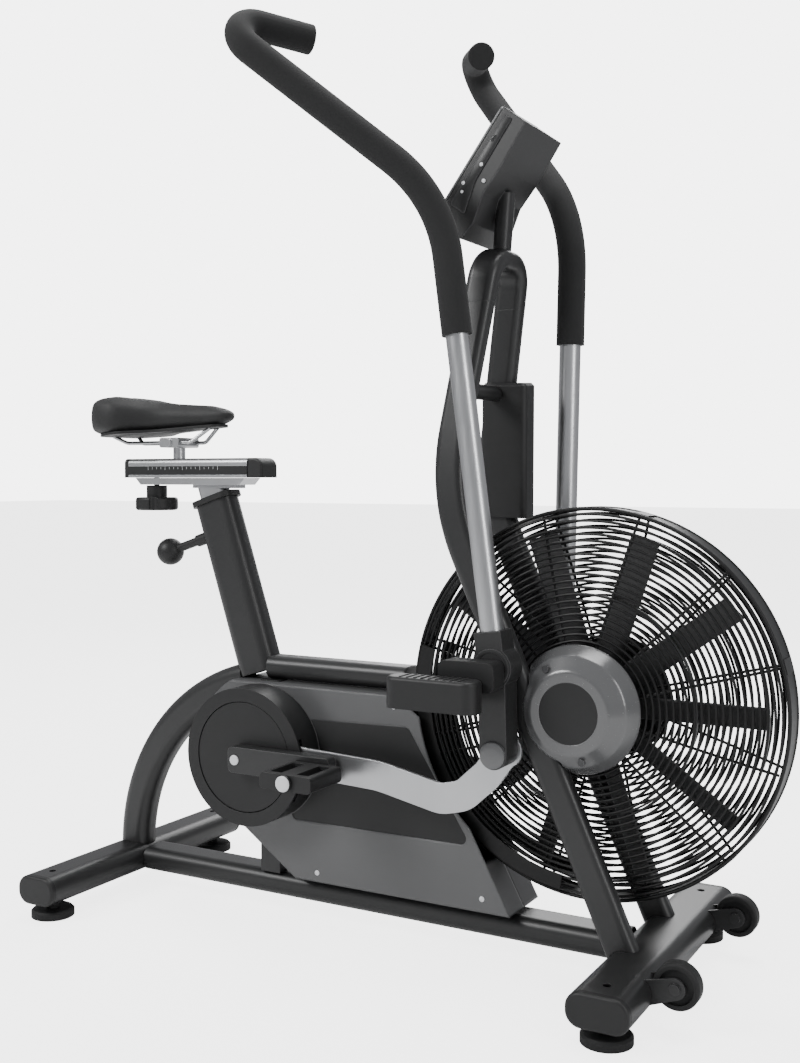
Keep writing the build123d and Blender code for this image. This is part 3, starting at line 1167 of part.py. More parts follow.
# ---------------------------------------------------------------- shroud
def shroud_outline():
    """The shroud from the side: round behind, cut to the fan's circle in front."""
    rear = Pos(CRANK_X, CRANK_Z) * Circle(SHROUD_REAR_RADIUS)
    below_top = Rectangle(4 * SHROUD_REAR_RADIUS, 2 * SHROUD_REAR_RADIUS)
    rear &= Pos(CRANK_X, SHROUD_TOP - SHROUD_REAR_RADIUS) * below_top
    top_x = CRANK_X - sqrt(SHROUD_REAR_RADIUS**2 - (SHROUD_TOP - CRANK_Z) ** 2)
    body = make_face(Polyline(
        (top_x, SHROUD_TOP), (BEAM_END_X, SHROUD_TOP), SHROUD_SHOULDER, SHROUD_FOOT,
        (CRANK_X + SHROUD_REAR_RADIUS / 2, SHROUD_BOTTOM),
        (CRANK_X - SHROUD_REAR_RADIUS * cos(radians(45)), CRANK_Z - SHROUD_REAR_RADIUS * sin(radians(45))),
        close=True,
    ))
    return (rear + body) - Pos(FAN_X, FAN_Z) * Circle(SHROUD_FRONT_RADIUS)


def shroud_half():
    """One moulded half: a side wall with a rim towards the middle, open in front."""
    outline = shroud_outline()
    shell = prism_y(outline, 0, SHROUD_Y)
    shell -= prism_y(offset(outline, amount=-SHROUD_WALL), 0, SHROUD_Y - SHROUD_WALL)
    shell -= cyl_y(SHROUD_OPENING_RADIUS, FAN_X, FAN_Z, 0, SHROUD_Y - SHROUD_WALL)
    shell -= cyl_y(SHROUD_HOLE_RADIUS, CRANK_X, CRANK_Z, 0, SHROUD_Y)
    panel = make_face(FilletPolyline(*PANEL_CORNERS, radius=PANEL_ROUND, close=True))
    panel -= Pos(CRANK_X, CRANK_Z) * Circle(DRUM_RADIUS + PANEL_DEPTH)
    shell -= prism_y(panel, SHROUD_Y - PANEL_DEPTH, SHROUD_Y)
    room = belt_outline(BELT_GAP + BELT_THICKNESS + BELT_ROOM)
    shell -= prism_y(room, BELT_Y - BELT_WIDTH / 2 - BELT_ROOM, BELT_Y + BELT_WIDTH / 2 + BELT_ROOM)
    return shell - arch_outside(MOVE_GAP) - seat_tube_outside(MOVE_GAP)


def bracket_room():
    """The slots in the rims that the bracket's post passes through."""
    x = (CRANK_X - POST_X_HALF - SEAT_GAP, CRANK_X + POST_X_HALF + SEAT_GAP)
    return block(x, (POST_Y[0] - SEAT_GAP, POST_Y[1] + SEAT_GAP), (0, BEAM_Z))


def drum():
    """A round wall and a flat bezel around the crank disc, slotted for the link."""
    wall = ring_y(DRUM_RADIUS, DRUM_RADIUS - DRUM_WALL, CRANK_X, CRANK_Z, SHROUD_Y, BEZEL_OUTER_Y)
    bezel = ring_y(DRUM_RADIUS, BEZEL_INNER_RADIUS, CRANK_X, CRANK_Z, BEZEL_Y, BEZEL_OUTER_Y)
    low = CRANK_Z - DRUM_SLOT[0]
    high = CRANK_Z + DRUM_SLOT[1]
    slot = block((CRANK_X, CRANK_X + 2 * DRUM_RADIUS), (LINK_Y - MOVE_GAP, BEZEL_Y), (low, high))
    return wall + bezel - slot


def covers():
    half = shroud_half()
    add("shroud_left", half)
    add("shroud_right", other_side(half) - bracket_room())
    ring = drum()
    add("drum_bezels", group([ring, other_side(ring)]))


# ---------------------------------------------------------------- levers and links
def link_plate(pin, joint):
    """The bent plate from a link pin to a lever's lower joint, on +Y."""
    points = [(0, 0), *LINK_ROUTE, (LINK, 0)]
    path = FilletPolyline(*points, radius=LINK_ROUNDS)
    strip = trace(path, 2 * LINK_HALF_WIDTH)
    rear = Circle(LINK_EYE_RADIUS)
    front = Pos(LINK, 0) * Circle(LINK_FRONT_RADIUS)
    profile = strip + rear + front
    profile -= Circle(PIN_RADIUS + RUNNING_GAP) + Pos(LINK, 0) * Circle(LINK_HOLE_RADIUS)
    turn = degrees(atan2(joint[1] - pin[1], joint[0] - pin[0]))
    return prism_y(Pos(*pin) * Rot(0, 0, turn) * profile, LINK_Y, LINK_OUTER_Y)


def at_lever(shape, lean):
    """A shape drawn about the pivot, upright, set at the left lever's place and lean."""
    return Pos(PIVOT_X, 0, PIVOT_Z) * Rot(0, -lean, 0) * shape


def joint_offset():
    """The lower joint from the pivot in the lever's own upright frame."""
    bend = radians(-ROCKER_BEND)
    return (ROCKER * sin(bend), -ROCKER * cos(bend))


def lever_casting():
    """Socket, pivot boss and lower arm in one casting, and the joint's cap."""
    x, z = joint_offset()
    boss = Circle(LEVER_BOSS_RADIUS)
    ends = [Pos(0, 0) * Circle(JOINT_BOSS_RADIUS), Pos(x, z) * Circle(JOINT_BOSS_RADIUS)]
    arm = make_hull(ends[0].edges() + ends[1].edges())
    socket = Pos(0, SOCKET_TOP / 2) * Rectangle(SOCKET_DEPTH, SOCKET_TOP)
    casting = prism_y(boss + arm + socket, LEVER_INNER_Y, LEVER_OUTER_Y)
    bore = LEVER_TUBE_RADIUS
    bore_length = 2 * (SOCKET_TOP - SOCKET_START - LEVER_AXLE_RADIUS)
    casting -= Pos(0, LEVER_Y, SOCKET_TOP) * Cylinder(bore, bore_length)
    casting -= cyl_y(LEVER_AXLE_RADIUS + RUNNING_GAP, 0, 0, LEVER_INNER_Y, LEVER_OUTER_Y)
    cap = cyl_y(JOINT_CAP_RADIUS, x, z, LEVER_OUTER_Y, LEVER_OUTER_Y + JOINT_CAP)
    return group([casting, cap])


def handle_path():
    """The lever tube's middle line, upright about the pivot."""
    start = (0, LEVER_Y, SOCKET_START + LEVER_AXLE_RADIUS)
    points = [(x, LEVER_Y + y, z) for x, y, z in (HANDLE_BEND, HANDLE_TOP, HANDLE_END)]
    return FilletPolyline(start, *points, radius=(HANDLE_BEND_RADIUS, HANDLE_TOP_RADIUS))


def lever_tube(path):
    tube = sweep(circle_on(path, LEVER_TUBE_RADIUS), path=path)
    return tube - sweep(circle_on(path, LEVER_TUBE_RADIUS - LEVER_TUBE_WALL), path=path)


def grip(path):
    """The foam sleeve over the upper part of the tube, closed at its end."""
    reach = GRIP_RADIUS - LEVER_TUBE_RADIUS
    way = Vector(*HANDLE_END) - Vector(*HANDLE_TOP)
    end = path @ 1
    cap = extrude(Plane(end, z_dir=tuple(way)) * Circle(GRIP_RADIUS), amount=GRIP_END)
    cap = fillet(cap.faces().sort_by(Axis(end, way))[-1].edges(), reach / 2)
    foam = sweep(circle_on(path, GRIP_RADIUS), path=path)
    foam -= sweep(circle_on(path, LEVER_TUBE_RADIUS), path=path)
    foam -= block((-GRIP_RADIUS * 2, GRIP_RADIUS * 2), (0, 2 * LEVER_Y), (0, SLEEVE_START))
    return foam + cap


def lever_axle():
    """The stub axle from the leg to the footrest, with a spacer beside the leg."""
    axle = cyl_y(LEVER_AXLE_RADIUS, PIVOT_X, PIVOT_Z, axle_start(), FOOTREST_ARM_Y)
    gap = LEVER_INNER_Y - MOVE_GAP
    return axle + cyl_y(JOINT_BOSS_RADIUS, PIVOT_X, PIVOT_Z, LEG_OUTER_Y, gap)


def axle_start():
    """How far into the leg the lever's axle is set."""
    return LEG_INNER_Y + 2 * WALL


def footrest():
    """An arm on the lever axle's end and the rounded rest outside it."""
    arm_x = (FOOTREST_ARM_X, PIVOT_X + FOOTREST_ARM_HEIGHT / 2)
    half = FOOTREST_ARM_HEIGHT / 2
    arm = block(arm_x, (FOOTREST_ARM_Y, FOOTREST_Y[0]), (FOOTREST_ARM_Z - half, FOOTREST_ARM_Z + half))
    arm = fillet(arm.edges().filter_by(Axis.Y), half / 2)
    z = (FOOTREST_Z - FOOTREST_HEIGHT / 2, FOOTREST_Z + FOOTREST_HEIGHT / 2)
    rest = block(FOOTREST_X, FOOTREST_Y, z)
    rest = fillet(rest.edges().filter_by(Axis.Z), FOOTREST_ROUND)
    rest = fillet(rest.edges().group_by(Axis.Z)[-1], FOOTREST_ROUND / 3)
    return group([arm, rest])


def levers():
    path = handle_path()
    parts = {"lever": lever_casting(), "lever_tube": lever_tube(path), "grip": grip(path)}
    for name, shape in parts.items():
        add(name + "_left", at_lever(shape, LEAN_LEFT))
        add(name + "_right", other_side(at_lever(shape, LEVER_LEAN)))
    add("link_left", link_plate(PIN_LEFT, JOINT_LEFT))
    add("link_right", other_side(link_plate(PIN_RIGHT, JOINT_RIGHT)))
    axle = lever_axle()
    add("lever_axles", group([axle, other_side(axle)]))
    rest = footrest()
    add("footrests", group([rest, other_side(rest)]))


# ---------------------------------------------------------------- console
def console_place():
    """The console's plane: along its face upward, and towards its back."""
    tilt = degrees(atan2(CONSOLE_HIGH[1] - CONSOLE_LOW[1], CONSOLE_HIGH[0] - CONSOLE_LOW[0]))
    return Pos(*CONSOLE_LOW) * Rot(0, 0, tilt)


def console_side(inset):
    """The housing from the side; v counts from the face to the back."""
    back = [(u, -v) for u, v in CONSOLE_BACK]
    front = [(0, 0), (CONSOLE_LENGTH, 0), (CONSOLE_LENGTH, -CONSOLE_DEPTH)]
    outline = make_face(Polyline(*front, *back, close=True))
    if inset:
        outline = offset(outline, amount=-inset)
        outline &= Pos(0, -CONSOLE_PANEL - CONSOLE_LENGTH / 2) * Rectangle(4 * CONSOLE_LENGTH, CONSOLE_LENGTH)
    return console_place() * outline


def console():
    half = CONSOLE_WIDTH / 2
    inner = half - CONSOLE_WALL
    body = prism_y(console_side(0), -half, half) - prism_y(console_side(CONSOLE_WALL), -inner, inner)
    start = (MAST_TOP_X, 0, MAST_TOP_Z)
    end = (NECK_TOP[0], 0, NECK_TOP[1])
    neck = straight_tube(start, end, NECK_DEPTH, NECK_WIDTH) - mast_outside(mast_path())
    axis = Vector(*end) - Vector(*start)
    way = (axis.X, axis.Y, axis.Z)
    room = extrude(bar_section(start, way, NECK_DEPTH, NECK_WIDTH), amount=axis.length, dir=way)
    add("console_body", group([body - room, neck]))
    low, high = SCREEN_ALONG
    face = Pos((low + high) / 2, SCREEN_THICKNESS / 2) * Rectangle(high - low, SCREEN_THICKNESS)
    add("console_screen", prism_y(console_place() * face, -SCREEN_WIDTH / 2, SCREEN_WIDTH / 2))


def main():
    os.makedirs("parts", exist_ok=True)
    floor_frame()
    transport_wheels()
    rear_frame()
    seat()
    legs_and_mast()
    fan_and_guard()
    drive()
    covers()
    levers()
    console()
    for name, shape in NODES.items():
        export_step(Pos(-X_MIDDLE, 0, 0) * shape, "parts/" + name + ".step")


main()
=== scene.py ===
import json
from math import cos, pi, radians, sin

import bmesh
import bpy
from mathutils import Matrix, Vector


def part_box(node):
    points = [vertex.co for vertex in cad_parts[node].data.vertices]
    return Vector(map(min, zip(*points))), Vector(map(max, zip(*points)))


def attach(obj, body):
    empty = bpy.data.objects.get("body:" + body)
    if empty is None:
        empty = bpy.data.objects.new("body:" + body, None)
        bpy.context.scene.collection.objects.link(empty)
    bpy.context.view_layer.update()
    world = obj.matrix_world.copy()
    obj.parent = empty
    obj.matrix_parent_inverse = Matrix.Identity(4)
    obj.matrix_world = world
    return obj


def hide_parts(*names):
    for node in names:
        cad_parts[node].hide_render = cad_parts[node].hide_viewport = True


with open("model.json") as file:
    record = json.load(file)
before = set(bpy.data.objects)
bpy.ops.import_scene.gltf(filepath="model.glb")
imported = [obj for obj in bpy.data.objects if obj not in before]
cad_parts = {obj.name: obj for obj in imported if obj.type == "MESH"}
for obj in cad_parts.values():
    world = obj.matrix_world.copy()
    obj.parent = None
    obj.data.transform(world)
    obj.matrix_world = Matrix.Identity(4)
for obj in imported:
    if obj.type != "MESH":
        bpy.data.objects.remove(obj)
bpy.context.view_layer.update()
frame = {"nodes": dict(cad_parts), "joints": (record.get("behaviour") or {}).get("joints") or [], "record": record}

# An air bike: black powder-coated frame, grey covers, silver arms and links, foam grips,
# a vinyl saddle and a wire-caged fan. Lengths are in metres.

NODES = frame["nodes"]
PIVOT = {j["name"]: Vector(j["pos_m"]) for j in frame["joints"] if "pos_m" in j}
SIDES = (("right", -1), ("left", 1))
MM = 0.001


def corners(node):
    low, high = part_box(node)
    return Vector(low), Vector(high)


# ------------------------------------------------------------------ shared effects
def new_group(name, inputs, outputs):
    """An empty shader group with its sockets, and its input and output nodes."""
    tree = bpy.data.node_groups.new(name, "ShaderNodeTree")
    for label, kind, value in inputs:
        socket = tree.interface.new_socket(label, in_out="INPUT", socket_type=kind)
        if value is not None:
            socket.default_value = value
    for label, kind in outputs:
        tree.interface.new_socket(label, in_out="OUTPUT", socket_type=kind)
    return tree, tree.nodes.new("NodeGroupInput"), tree.nodes.new("NodeGroupOutput")


def node(tree, kind, **settings):
    made = tree.nodes.new(kind)
    for key, value in settings.items():
        setattr(made, key, value)
    return made


def scaled(tree, source):
    """The pattern's coordinates, stretched by the group's Stretch."""
    stretched = node(tree, "ShaderNodeVectorMath", operation="MULTIPLY")
    tree.links.new(source.outputs["Vector"], stretched.inputs[0])
    tree.links.new(source.outputs["Stretch"], stretched.inputs[1])
    return stretched


def grain_group():
    """Fine grain: a roughness that varies and a height for a bump."""
    tree, source, sink = new_group(
        "Fine grain",
        [("Vector", "NodeSocketVector", None), ("Stretch", "NodeSocketVector", (1, 1, 1)),
         ("Scale", "NodeSocketFloat", 400), ("Low", "NodeSocketFloat", 0.4),
         ("High", "NodeSocketFloat", 0.5)],
        [("Roughness", "NodeSocketFloat"), ("Height", "NodeSocketFloat")],
    )
    link = tree.links.new
    stretched = scaled(tree, source)
    noise = node(tree, "ShaderNodeTexNoise")
    noise.inputs["Detail"].default_value = 5
    noise.inputs["Roughness"].default_value = 0.6
    spread = node(tree, "ShaderNodeMapRange")
    spread.inputs["From Min"].default_value = 0.3
    spread.inputs["From Max"].default_value = 0.7
    link(stretched.outputs[0], noise.inputs["Vector"])
    link(source.outputs["Scale"], noise.inputs["Scale"])
    link(noise.outputs["Fac"], spread.inputs["Value"])
    link(source.outputs["Low"], spread.inputs["To Min"])
    link(source.outputs["High"], spread.inputs["To Max"])
    link(spread.outputs["Result"], sink.inputs["Roughness"])
    link(noise.outputs["Fac"], sink.inputs["Height"])
    return tree


def tone_group():
    """Slow colour variation between two tones."""
    tree, source, sink = new_group(
        "Tone",
        [("Vector", "NodeSocketVector", None), ("Stretch", "NodeSocketVector", (1, 1, 1)),
         ("Scale", "NodeSocketFloat", 9), ("Dark", "NodeSocketColor", None),
         ("Light", "NodeSocketColor", None)],
        [("Color", "NodeSocketColor")],
    )
    link = tree.links.new
    stretched = scaled(tree, source)
    noise = node(tree, "ShaderNodeTexNoise")
    noise.inputs["Detail"].default_value = 3
    blend = node(tree, "ShaderNodeMix", data_type="RGBA")
    link(stretched.outputs[0], noise.inputs["Vector"])
    link(source.outputs["Scale"], noise.inputs["Scale"])
    link(noise.outputs["Fac"], blend.inputs["Factor"])
    link(source.outputs["Dark"], blend.inputs["A"])
    link(source.outputs["Light"], blend.inputs["B"])
    link(blend.outputs["Result"], sink.inputs["Color"])
    return tree


def edge_group():
    """Rounded-off edges: a normal that turns the corner, and a mask of the edge that is painted lighter, partly as
    rubbed paint and partly as a painted highlight.
    """
    tree, source, sink = new_group(
        "Rubbed edges and painted highlight",
        [("Vector", "NodeSocketVector", None), ("Width", "NodeSocketFloat", 0.0015),
         ("Amount", "NodeSocketFloat", 1.0)],
        [("Mask", "NodeSocketFloat"), ("Normal", "NodeSocketVector")],
    )
    link = tree.links.new
    rounded = node(tree, "ShaderNodeBevel", samples=4)
    surface = node(tree, "ShaderNodeNewGeometry")
    agree = node(tree, "ShaderNodeVectorMath", operation="DOT_PRODUCT")
    turn = node(tree, "ShaderNodeMath", operation="SUBTRACT")
    turn.inputs[0].default_value = 1
    patches = node(tree, "ShaderNodeTexNoise")
    patches.inputs["Scale"].default_value = 60
    patchy = node(tree, "ShaderNodeMath", operation="MULTIPLY")
    # This mask lightens every edge, partly as rubbed paint and partly as a painted highlight.
    mask = node(tree, "ShaderNodeMath", operation="MULTIPLY", use_clamp=True)
    link(source.outputs["Width"], rounded.inputs["Radius"])
    link(rounded.outputs["Normal"], agree.inputs[0])
    link(surface.outputs["Normal"], agree.inputs[1])
    link(agree.outputs["Value"], turn.inputs[1])
    link(source.outputs["Vector"], patches.inputs["Vector"])
    link(turn.outputs[0], patchy.inputs[0])
    link(patches.outputs["Fac"], patchy.inputs[1])
    link(patchy.outputs[0], mask.inputs[0])
    link(source.outputs["Amount"], mask.inputs[1])
    link(mask.outputs[0], sink.inputs["Mask"])
    link(rounded.outputs["Normal"], sink.inputs["Normal"])
    return tree


def hide_group():
    """Vinyl hide: small cells with creases between them."""
    tree, source, sink = new_group(
        "Vinyl hide",
        [("Vector", "NodeSocketVector", None), ("Scale", "NodeSocketFloat", 300)],
        [("Height", "NodeSocketFloat")],
    )
    link = tree.links.new
    cells = node(tree, "ShaderNodeTexVoronoi", feature="DISTANCE_TO_EDGE")
    crease = node(tree, "ShaderNodeMapRange")
    crease.inputs["From Max"].default_value = 0.12
    link(source.outputs["Vector"], cells.inputs["Vector"])
    link(source.outputs["Scale"], cells.inputs["Scale"])
    link(cells.outputs["Distance"], crease.inputs["Value"])
    link(crease.outputs["Result"], sink.inputs["Height"])
    return tree


GRAIN = grain_group()
TONE = tone_group()
EDGES = edge_group()
HIDE = hide_group()


def placed(tree, group, **values):
    """A shared effect in a material, with its own values."""
    made = node(tree, "ShaderNodeGroup", node_tree=group)
    for label, value in values.items():
        made.inputs[label].default_value = value
    return made


def finish(name, dark, light, rough, metal=0.0, grain=420, bump=0.15, depth=0.0003, stretch=(1, 1, 1),
           tone=9, rubbed_and_highlight_colour=None, rubbed_and_highlight_amount=2.0, edge=0.0012, coat=0.0, sheen=0.0, hide=0, shine=0.5):
    """A material of one family: two tones, a grain, soft edges and a lighter colour on them, partly rubbed paint
    and partly a painted highlight.
    """
    made = bpy.data.materials.new(name)
    made.use_nodes = True
    tree = made.node_tree
    link = tree.links.new
    shader = tree.nodes["Principled BSDF"]
    shader.inputs["Metallic"].default_value = metal
    shader.inputs["Coat Weight"].default_value = coat
    shader.inputs["Coat Roughness"].default_value = 0.12
    shader.inputs["Sheen Weight"].default_value = sheen
    shader.inputs["Specular IOR Level"].default_value = shine
    where = node(tree, "ShaderNodeTexCoord")
    grained = placed(tree, GRAIN, Stretch=stretch, Scale=grain, Low=rough[0], High=rough[1])
    toned = placed(tree, TONE, Stretch=stretch, Scale=tone, Dark=(*dark, 1), Light=(*light, 1))
    edged = placed(tree, EDGES, Width=edge, Amount=rubbed_and_highlight_amount)
    for user in (grained, toned, edged):
        link(where.outputs["Object"], user.inputs["Vector"])
    # The edges take a lighter colour through the edge mask: partly rubbed paint, partly a painted highlight.
    colour = node(tree, "ShaderNodeMix", data_type="RGBA")
    colour.inputs["B"].default_value = (*(rubbed_and_highlight_colour or light), 1)
    link(edged.outputs["Mask"], colour.inputs["Factor"])
    link(toned.outputs["Color"], colour.inputs["A"])
    link(colour.outputs["Result"], shader.inputs["Base Color"])
    link(grained.outputs["Roughness"], shader.inputs["Roughness"])
    relief = node(tree, "ShaderNodeBump")
    relief.inputs["Strength"].default_value = bump
    relief.inputs["Distance"].default_value = depth
    height = grained.outputs["Height"]
    if hide:
        pores = placed(tree, HIDE, Scale=hide)
        link(where.outputs["Object"], pores.inputs["Vector"])
        height = pores.outputs["Height"]
    link(height, relief.inputs["Height"])
    link(edged.outputs["Normal"], relief.inputs["Normal"])
    link(relief.outputs["Normal"], shader.inputs["Normal"])
    return made


def grey(value):
    return (value, value * 1.01, value * 1.03)


# Each material's lighter edge colour stands partly for rubbed paint and partly for a painted highlight on lit
# edges.
FINISH = {
    "frame_paint": finish("satin powder coat", grey(0.009), grey(0.014), (0.32, 0.44), grain=900,
                          bump=0.2, rubbed_and_highlight_colour=grey(0.06), shine=0.4),
    "dark_plastic": finish("moulded black plastic", grey(0.006), grey(0.011), (0.42, 0.55), grain=700,
                           bump=0.25, rubbed_and_highlight_colour=grey(0.05), shine=0.3),
    "black_rubber": finish("black rubber", grey(0.006), grey(0.010), (0.62, 0.78), grain=500, bump=0.3,
                           shine=0.3),
    "steel": finish("turned steel", grey(0.30), grey(0.40), (0.22, 0.34), metal=1.0, grain=300,
                    stretch=(1, 12, 1), bump=0.06),
    "black_wire": finish("black coated wire", grey(0.003), grey(0.005), (0.40, 0.50), grain=500, bump=0.08,
                         edge=0.0004, shine=0.25),
    "hub_grey": finish("grey gloss plastic", grey(0.060), grey(0.072), (0.2, 0.28), grain=300, bump=0.03,
                       rubbed_and_highlight_colour=grey(0.2), coat=0.3, edge=0.004),
    "shroud_grey": finish("grey satin plastic", grey(0.055), grey(0.068), (0.30, 0.40), grain=800,
                          bump=0.12, rubbed_and_highlight_colour=grey(0.2), edge=0.006, rubbed_and_highlight_amount=0.6),
    "satin_silver": finish("satin silver", grey(0.34), grey(0.42), (0.28, 0.38), metal=0.95, grain=260,
                           stretch=(1, 1, 0.06), bump=0.05, rubbed_and_highlight_colour=grey(0.7)),
    "dark_casting": finish("cast and painted", grey(0.008), grey(0.014), (0.36, 0.50), grain=260, bump=0.3,
                           rubbed_and_highlight_colour=grey(0.09), edge=0.0025, rubbed_and_highlight_amount=3.0, shine=0.4),
    "grip_foam": finish("closed-cell foam", grey(0.008), grey(0.014), (0.78, 0.92), grain=1300, bump=0.5,
                        depth=0.0006, sheen=0.04, shine=0.25),
    "saddle_vinyl": finish("saddle vinyl", grey(0.006), grey(0.010), (0.5, 0.62), hide=330, bump=0.35,
                           depth=0.0004, sheen=0.03, shine=0.3),
    "console_plastic": finish("console plastic", grey(0.010), grey(0.016), (0.36, 0.48), grain=700,
                              bump=0.2, rubbed_and_highlight_colour=grey(0.12), edge=0.004, rubbed_and_highlight_amount=2.0, shine=0.35),
    "screen_glass": finish("screen glass", grey(0.004), grey(0.006), (0.06, 0.1), grain=60, bump=0.0,
                           coat=0.6),
}
PANEL = finish("inset panel", grey(0.008), grey(0.013), (0.44, 0.56), grain=900, bump=0.3, rubbed_and_highlight_colour=grey(0.08),
               shine=0.3)
PALE = finish("pale cap", grey(0.5), grey(0.6), (0.3, 0.4), grain=300, bump=0.05, rubbed_and_highlight_colour=grey(0.8))
TICKS = finish("scale marks", grey(0.40), grey(0.50), (0.4, 0.5), grain=300, bump=0.02)
EDGING = finish("console edging", grey(0.07), grey(0.09), (0.3, 0.4), grain=600, bump=0.1, rubbed_and_highlight_colour=grey(0.3))
FAN_PAINT = finish("painted fan blades", grey(0.018), grey(0.028), (0.30, 0.40), grain=500, bump=0.08,
                   rubbed_and_highlight_colour=grey(0.08), edge=0.001)
DARK_STEEL = finish("blackened steel", grey(0.04), grey(0.06), (0.3, 0.42), metal=0.8, grain=300, bump=0.08,
                    rubbed_and_highlight_colour=grey(0.3))

SPECIAL = {"fan_fasteners": DARK_STEEL, "fan_blades": FAN_PAINT}

for row in frame["record"]["subparts"]:
    mesh = NODES[row["node"]].data
    mesh.materials.clear()
    mesh.materials.append(SPECIAL.get(row["node"], FINISH[row["material_slot"]]))


# ------------------------------------------------------------------ tools for new pieces
def made_piece(name, shape, body, slot, material=None, smooth=40):
    """An object from a bmesh, closed, facing out, riding on a body."""
    bmesh.ops.remove_doubles(shape, verts=shape.verts, dist=0.00001)
    bmesh.ops.recalc_face_normals(shape, faces=shape.faces)
    mesh = bpy.data.meshes.new(name)
    shape.to_mesh(mesh)
    shape.free()
    mesh.shade_smooth()
    mesh.set_sharp_from_angle(angle=radians(smooth))
    mesh.materials.append(material or FINISH[slot])
    made = bpy.data.objects.new(name, mesh)
    bpy.context.scene.collection.objects.link(made)
    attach(made, body)
    return made


def turned(shape, profile, centre, steps=48):
    """A profile of (radius, y) points spun about the Y axis through centre."""
    points = [shape.verts.new((r, y, 0)) for r, y in profile]
    lines = [shape.edges.new(pair) for pair in zip(points, points[1:])]
    bmesh.ops.spin(shape, geom=points + lines, cent=(0, 0, 0), axis=(0, 1, 0), angle=2 * pi,
                   steps=steps, use_merge=True)
    fresh = [v for v in shape.verts if not v.tag]
    bmesh.ops.translate(shape, verts=fresh, vec=centre)
    for vertex in shape.verts:
        vertex.tag = True


def plate(shape, outline, y0, y1, soften=0.0):
    """A flat plate: an outline of (x, z) points given thickness along Y, its edges softened."""
    points = [shape.verts.new((x, y0, z)) for x, z in outline]
    face = shape.faces.new(points)
    grown = bmesh.ops.extrude_face_region(shape, geom=[face])["geom"]
    moved = [g for g in grown if isinstance(g, bmesh.types.BMVert)]
    bmesh.ops.translate(shape, verts=moved, vec=(0, y1 - y0, 0))
    if soften:
        edges = {e for v in points + moved for e in v.link_edges}
        bmesh.ops.bevel(shape, geom=list(edges), offset=soften, offset_type="OFFSET", affect="EDGES",
                        segments=3, profile=0.5, material=-1)


def set_on(shape, origin, right, out, up):
    """Turns a shape drawn with X right, Y out and Z up to lie on a face."""
    turn = Matrix((right, out, up)).transposed().to_4x4()
    bmesh.ops.transform(shape, verts=shape.verts, matrix=Matrix.Translation(origin) @ turn)


def window(shape, outer, inner, y0, y1):
    """A plate with an opening: two outlines of as many points, joined and given thickness."""
    loops = []
    for outline in (outer, inner):
        points = [shape.verts.new((x, y0, z)) for x, z in outline]
        loops += [shape.edges.new(pair) for pair in zip(points, points[1:] + points[:1])]
    ring = bmesh.ops.bridge_loops(shape, edges=loops)["faces"]
    grown = bmesh.ops.extrude_face_region(shape, geom=ring)["geom"]
    moved = [g for g in grown if isinstance(g, bmesh.types.BMVert)]
    bmesh.ops.translate(shape, verts=moved, vec=(0, y1 - y0, 0))
    bmesh.ops.recalc_face_normals(shape, faces=shape.faces)


def ring_profile(outer, inner, face, way, thickness):
    """A flat ring that stands out from face by thickness, along way."""
    top = face + way * thickness
    soft = thickness * 0.4
    outside = [(outer, face), (outer, top - way * soft), (outer - soft, top)]
    return [(inner, face), *outside, (inner, top), (inner, face)]


def rounded(points, radius, steps=6):
    """An outline with each corner replaced by a small arc."""
    out = []
    for i, here in enumerate(points):
        here = Vector(here)
        before = (Vector(points[i - 1]) - here).normalized() * radius
        after = (Vector(points[(i + 1) % len(points)]) - here).normalized() * radius
        for k in range(steps + 1):
            t = k / steps
            out.append(here + before * (1 - t) ** 2 + after * t ** 2)
    return out


def cap_profile(radius, face, way, thickness, rim):
    """A low domed cap that starts at face and stands out by thickness, along way."""
    return [(0, face), (radius, face), (radius, face + way * (thickness - rim)),
            (radius - rim, face + way * thickness * 0.85), (radius * 0.5, face + way * thickness),
            (0, face + way * thickness)]


# ------------------------------------------------------------------ covers
# Millimetres forward and up from the cover's lower rear corner.
PANEL_CORNERS = ((222, 277), (427, 282), (540, 104), (197, 102))
COVER_SCREWS = ((128, 322), (400, 314), (250, 16), (560, 22))


def shroud_panels():
    """A darker panel in the recess on each side of the belt cover."""
    for side, way in SIDES:
        low, high = corners("shroud_" + side)
        outline = rounded([(low.x + x * MM, low.z + z * MM) for x, z in PANEL_CORNERS], 11 * MM)
        face = high.y if way > 0 else low.y
        shape = bmesh.new()
        plate(shape, outline, face - way * 1.3 * MM, face - way * 0.4 * MM, 0.2 * MM)
        made_piece("shroud_panel_" + side, shape, "frame", "shroud_grey", PANEL)


def shroud_screws():
    """Pale button screws along the edge of each cover half."""
    for side, way in SIDES:
        low, high = corners("shroud_" + side)
        face = high.y if way > 0 else low.y
        shape = bmesh.new()
        for x, z in COVER_SCREWS:
            turned(shape, cap_profile(4.5 * MM, face, way, 1.6 * MM, 0.8 * MM),
                   (low.x + x * MM, 0, low.z + z * MM), 24)
        made_piece("shroud_screws_" + side, shape, "frame", "steel", PALE)


# ------------------------------------------------------------------ caps and bolts
LINK_EYE = 27 * MM          # radius of a link's front eye
JOINT_BOSS = 22 * MM        # radius of a lever's lower end
FOOTREST_NEAR = 190 * MM    # a rest's ends, from the middle plane
FOOTREST_FAR = 235 * MM
FOOTREST_HEIGHT = 47 * MM


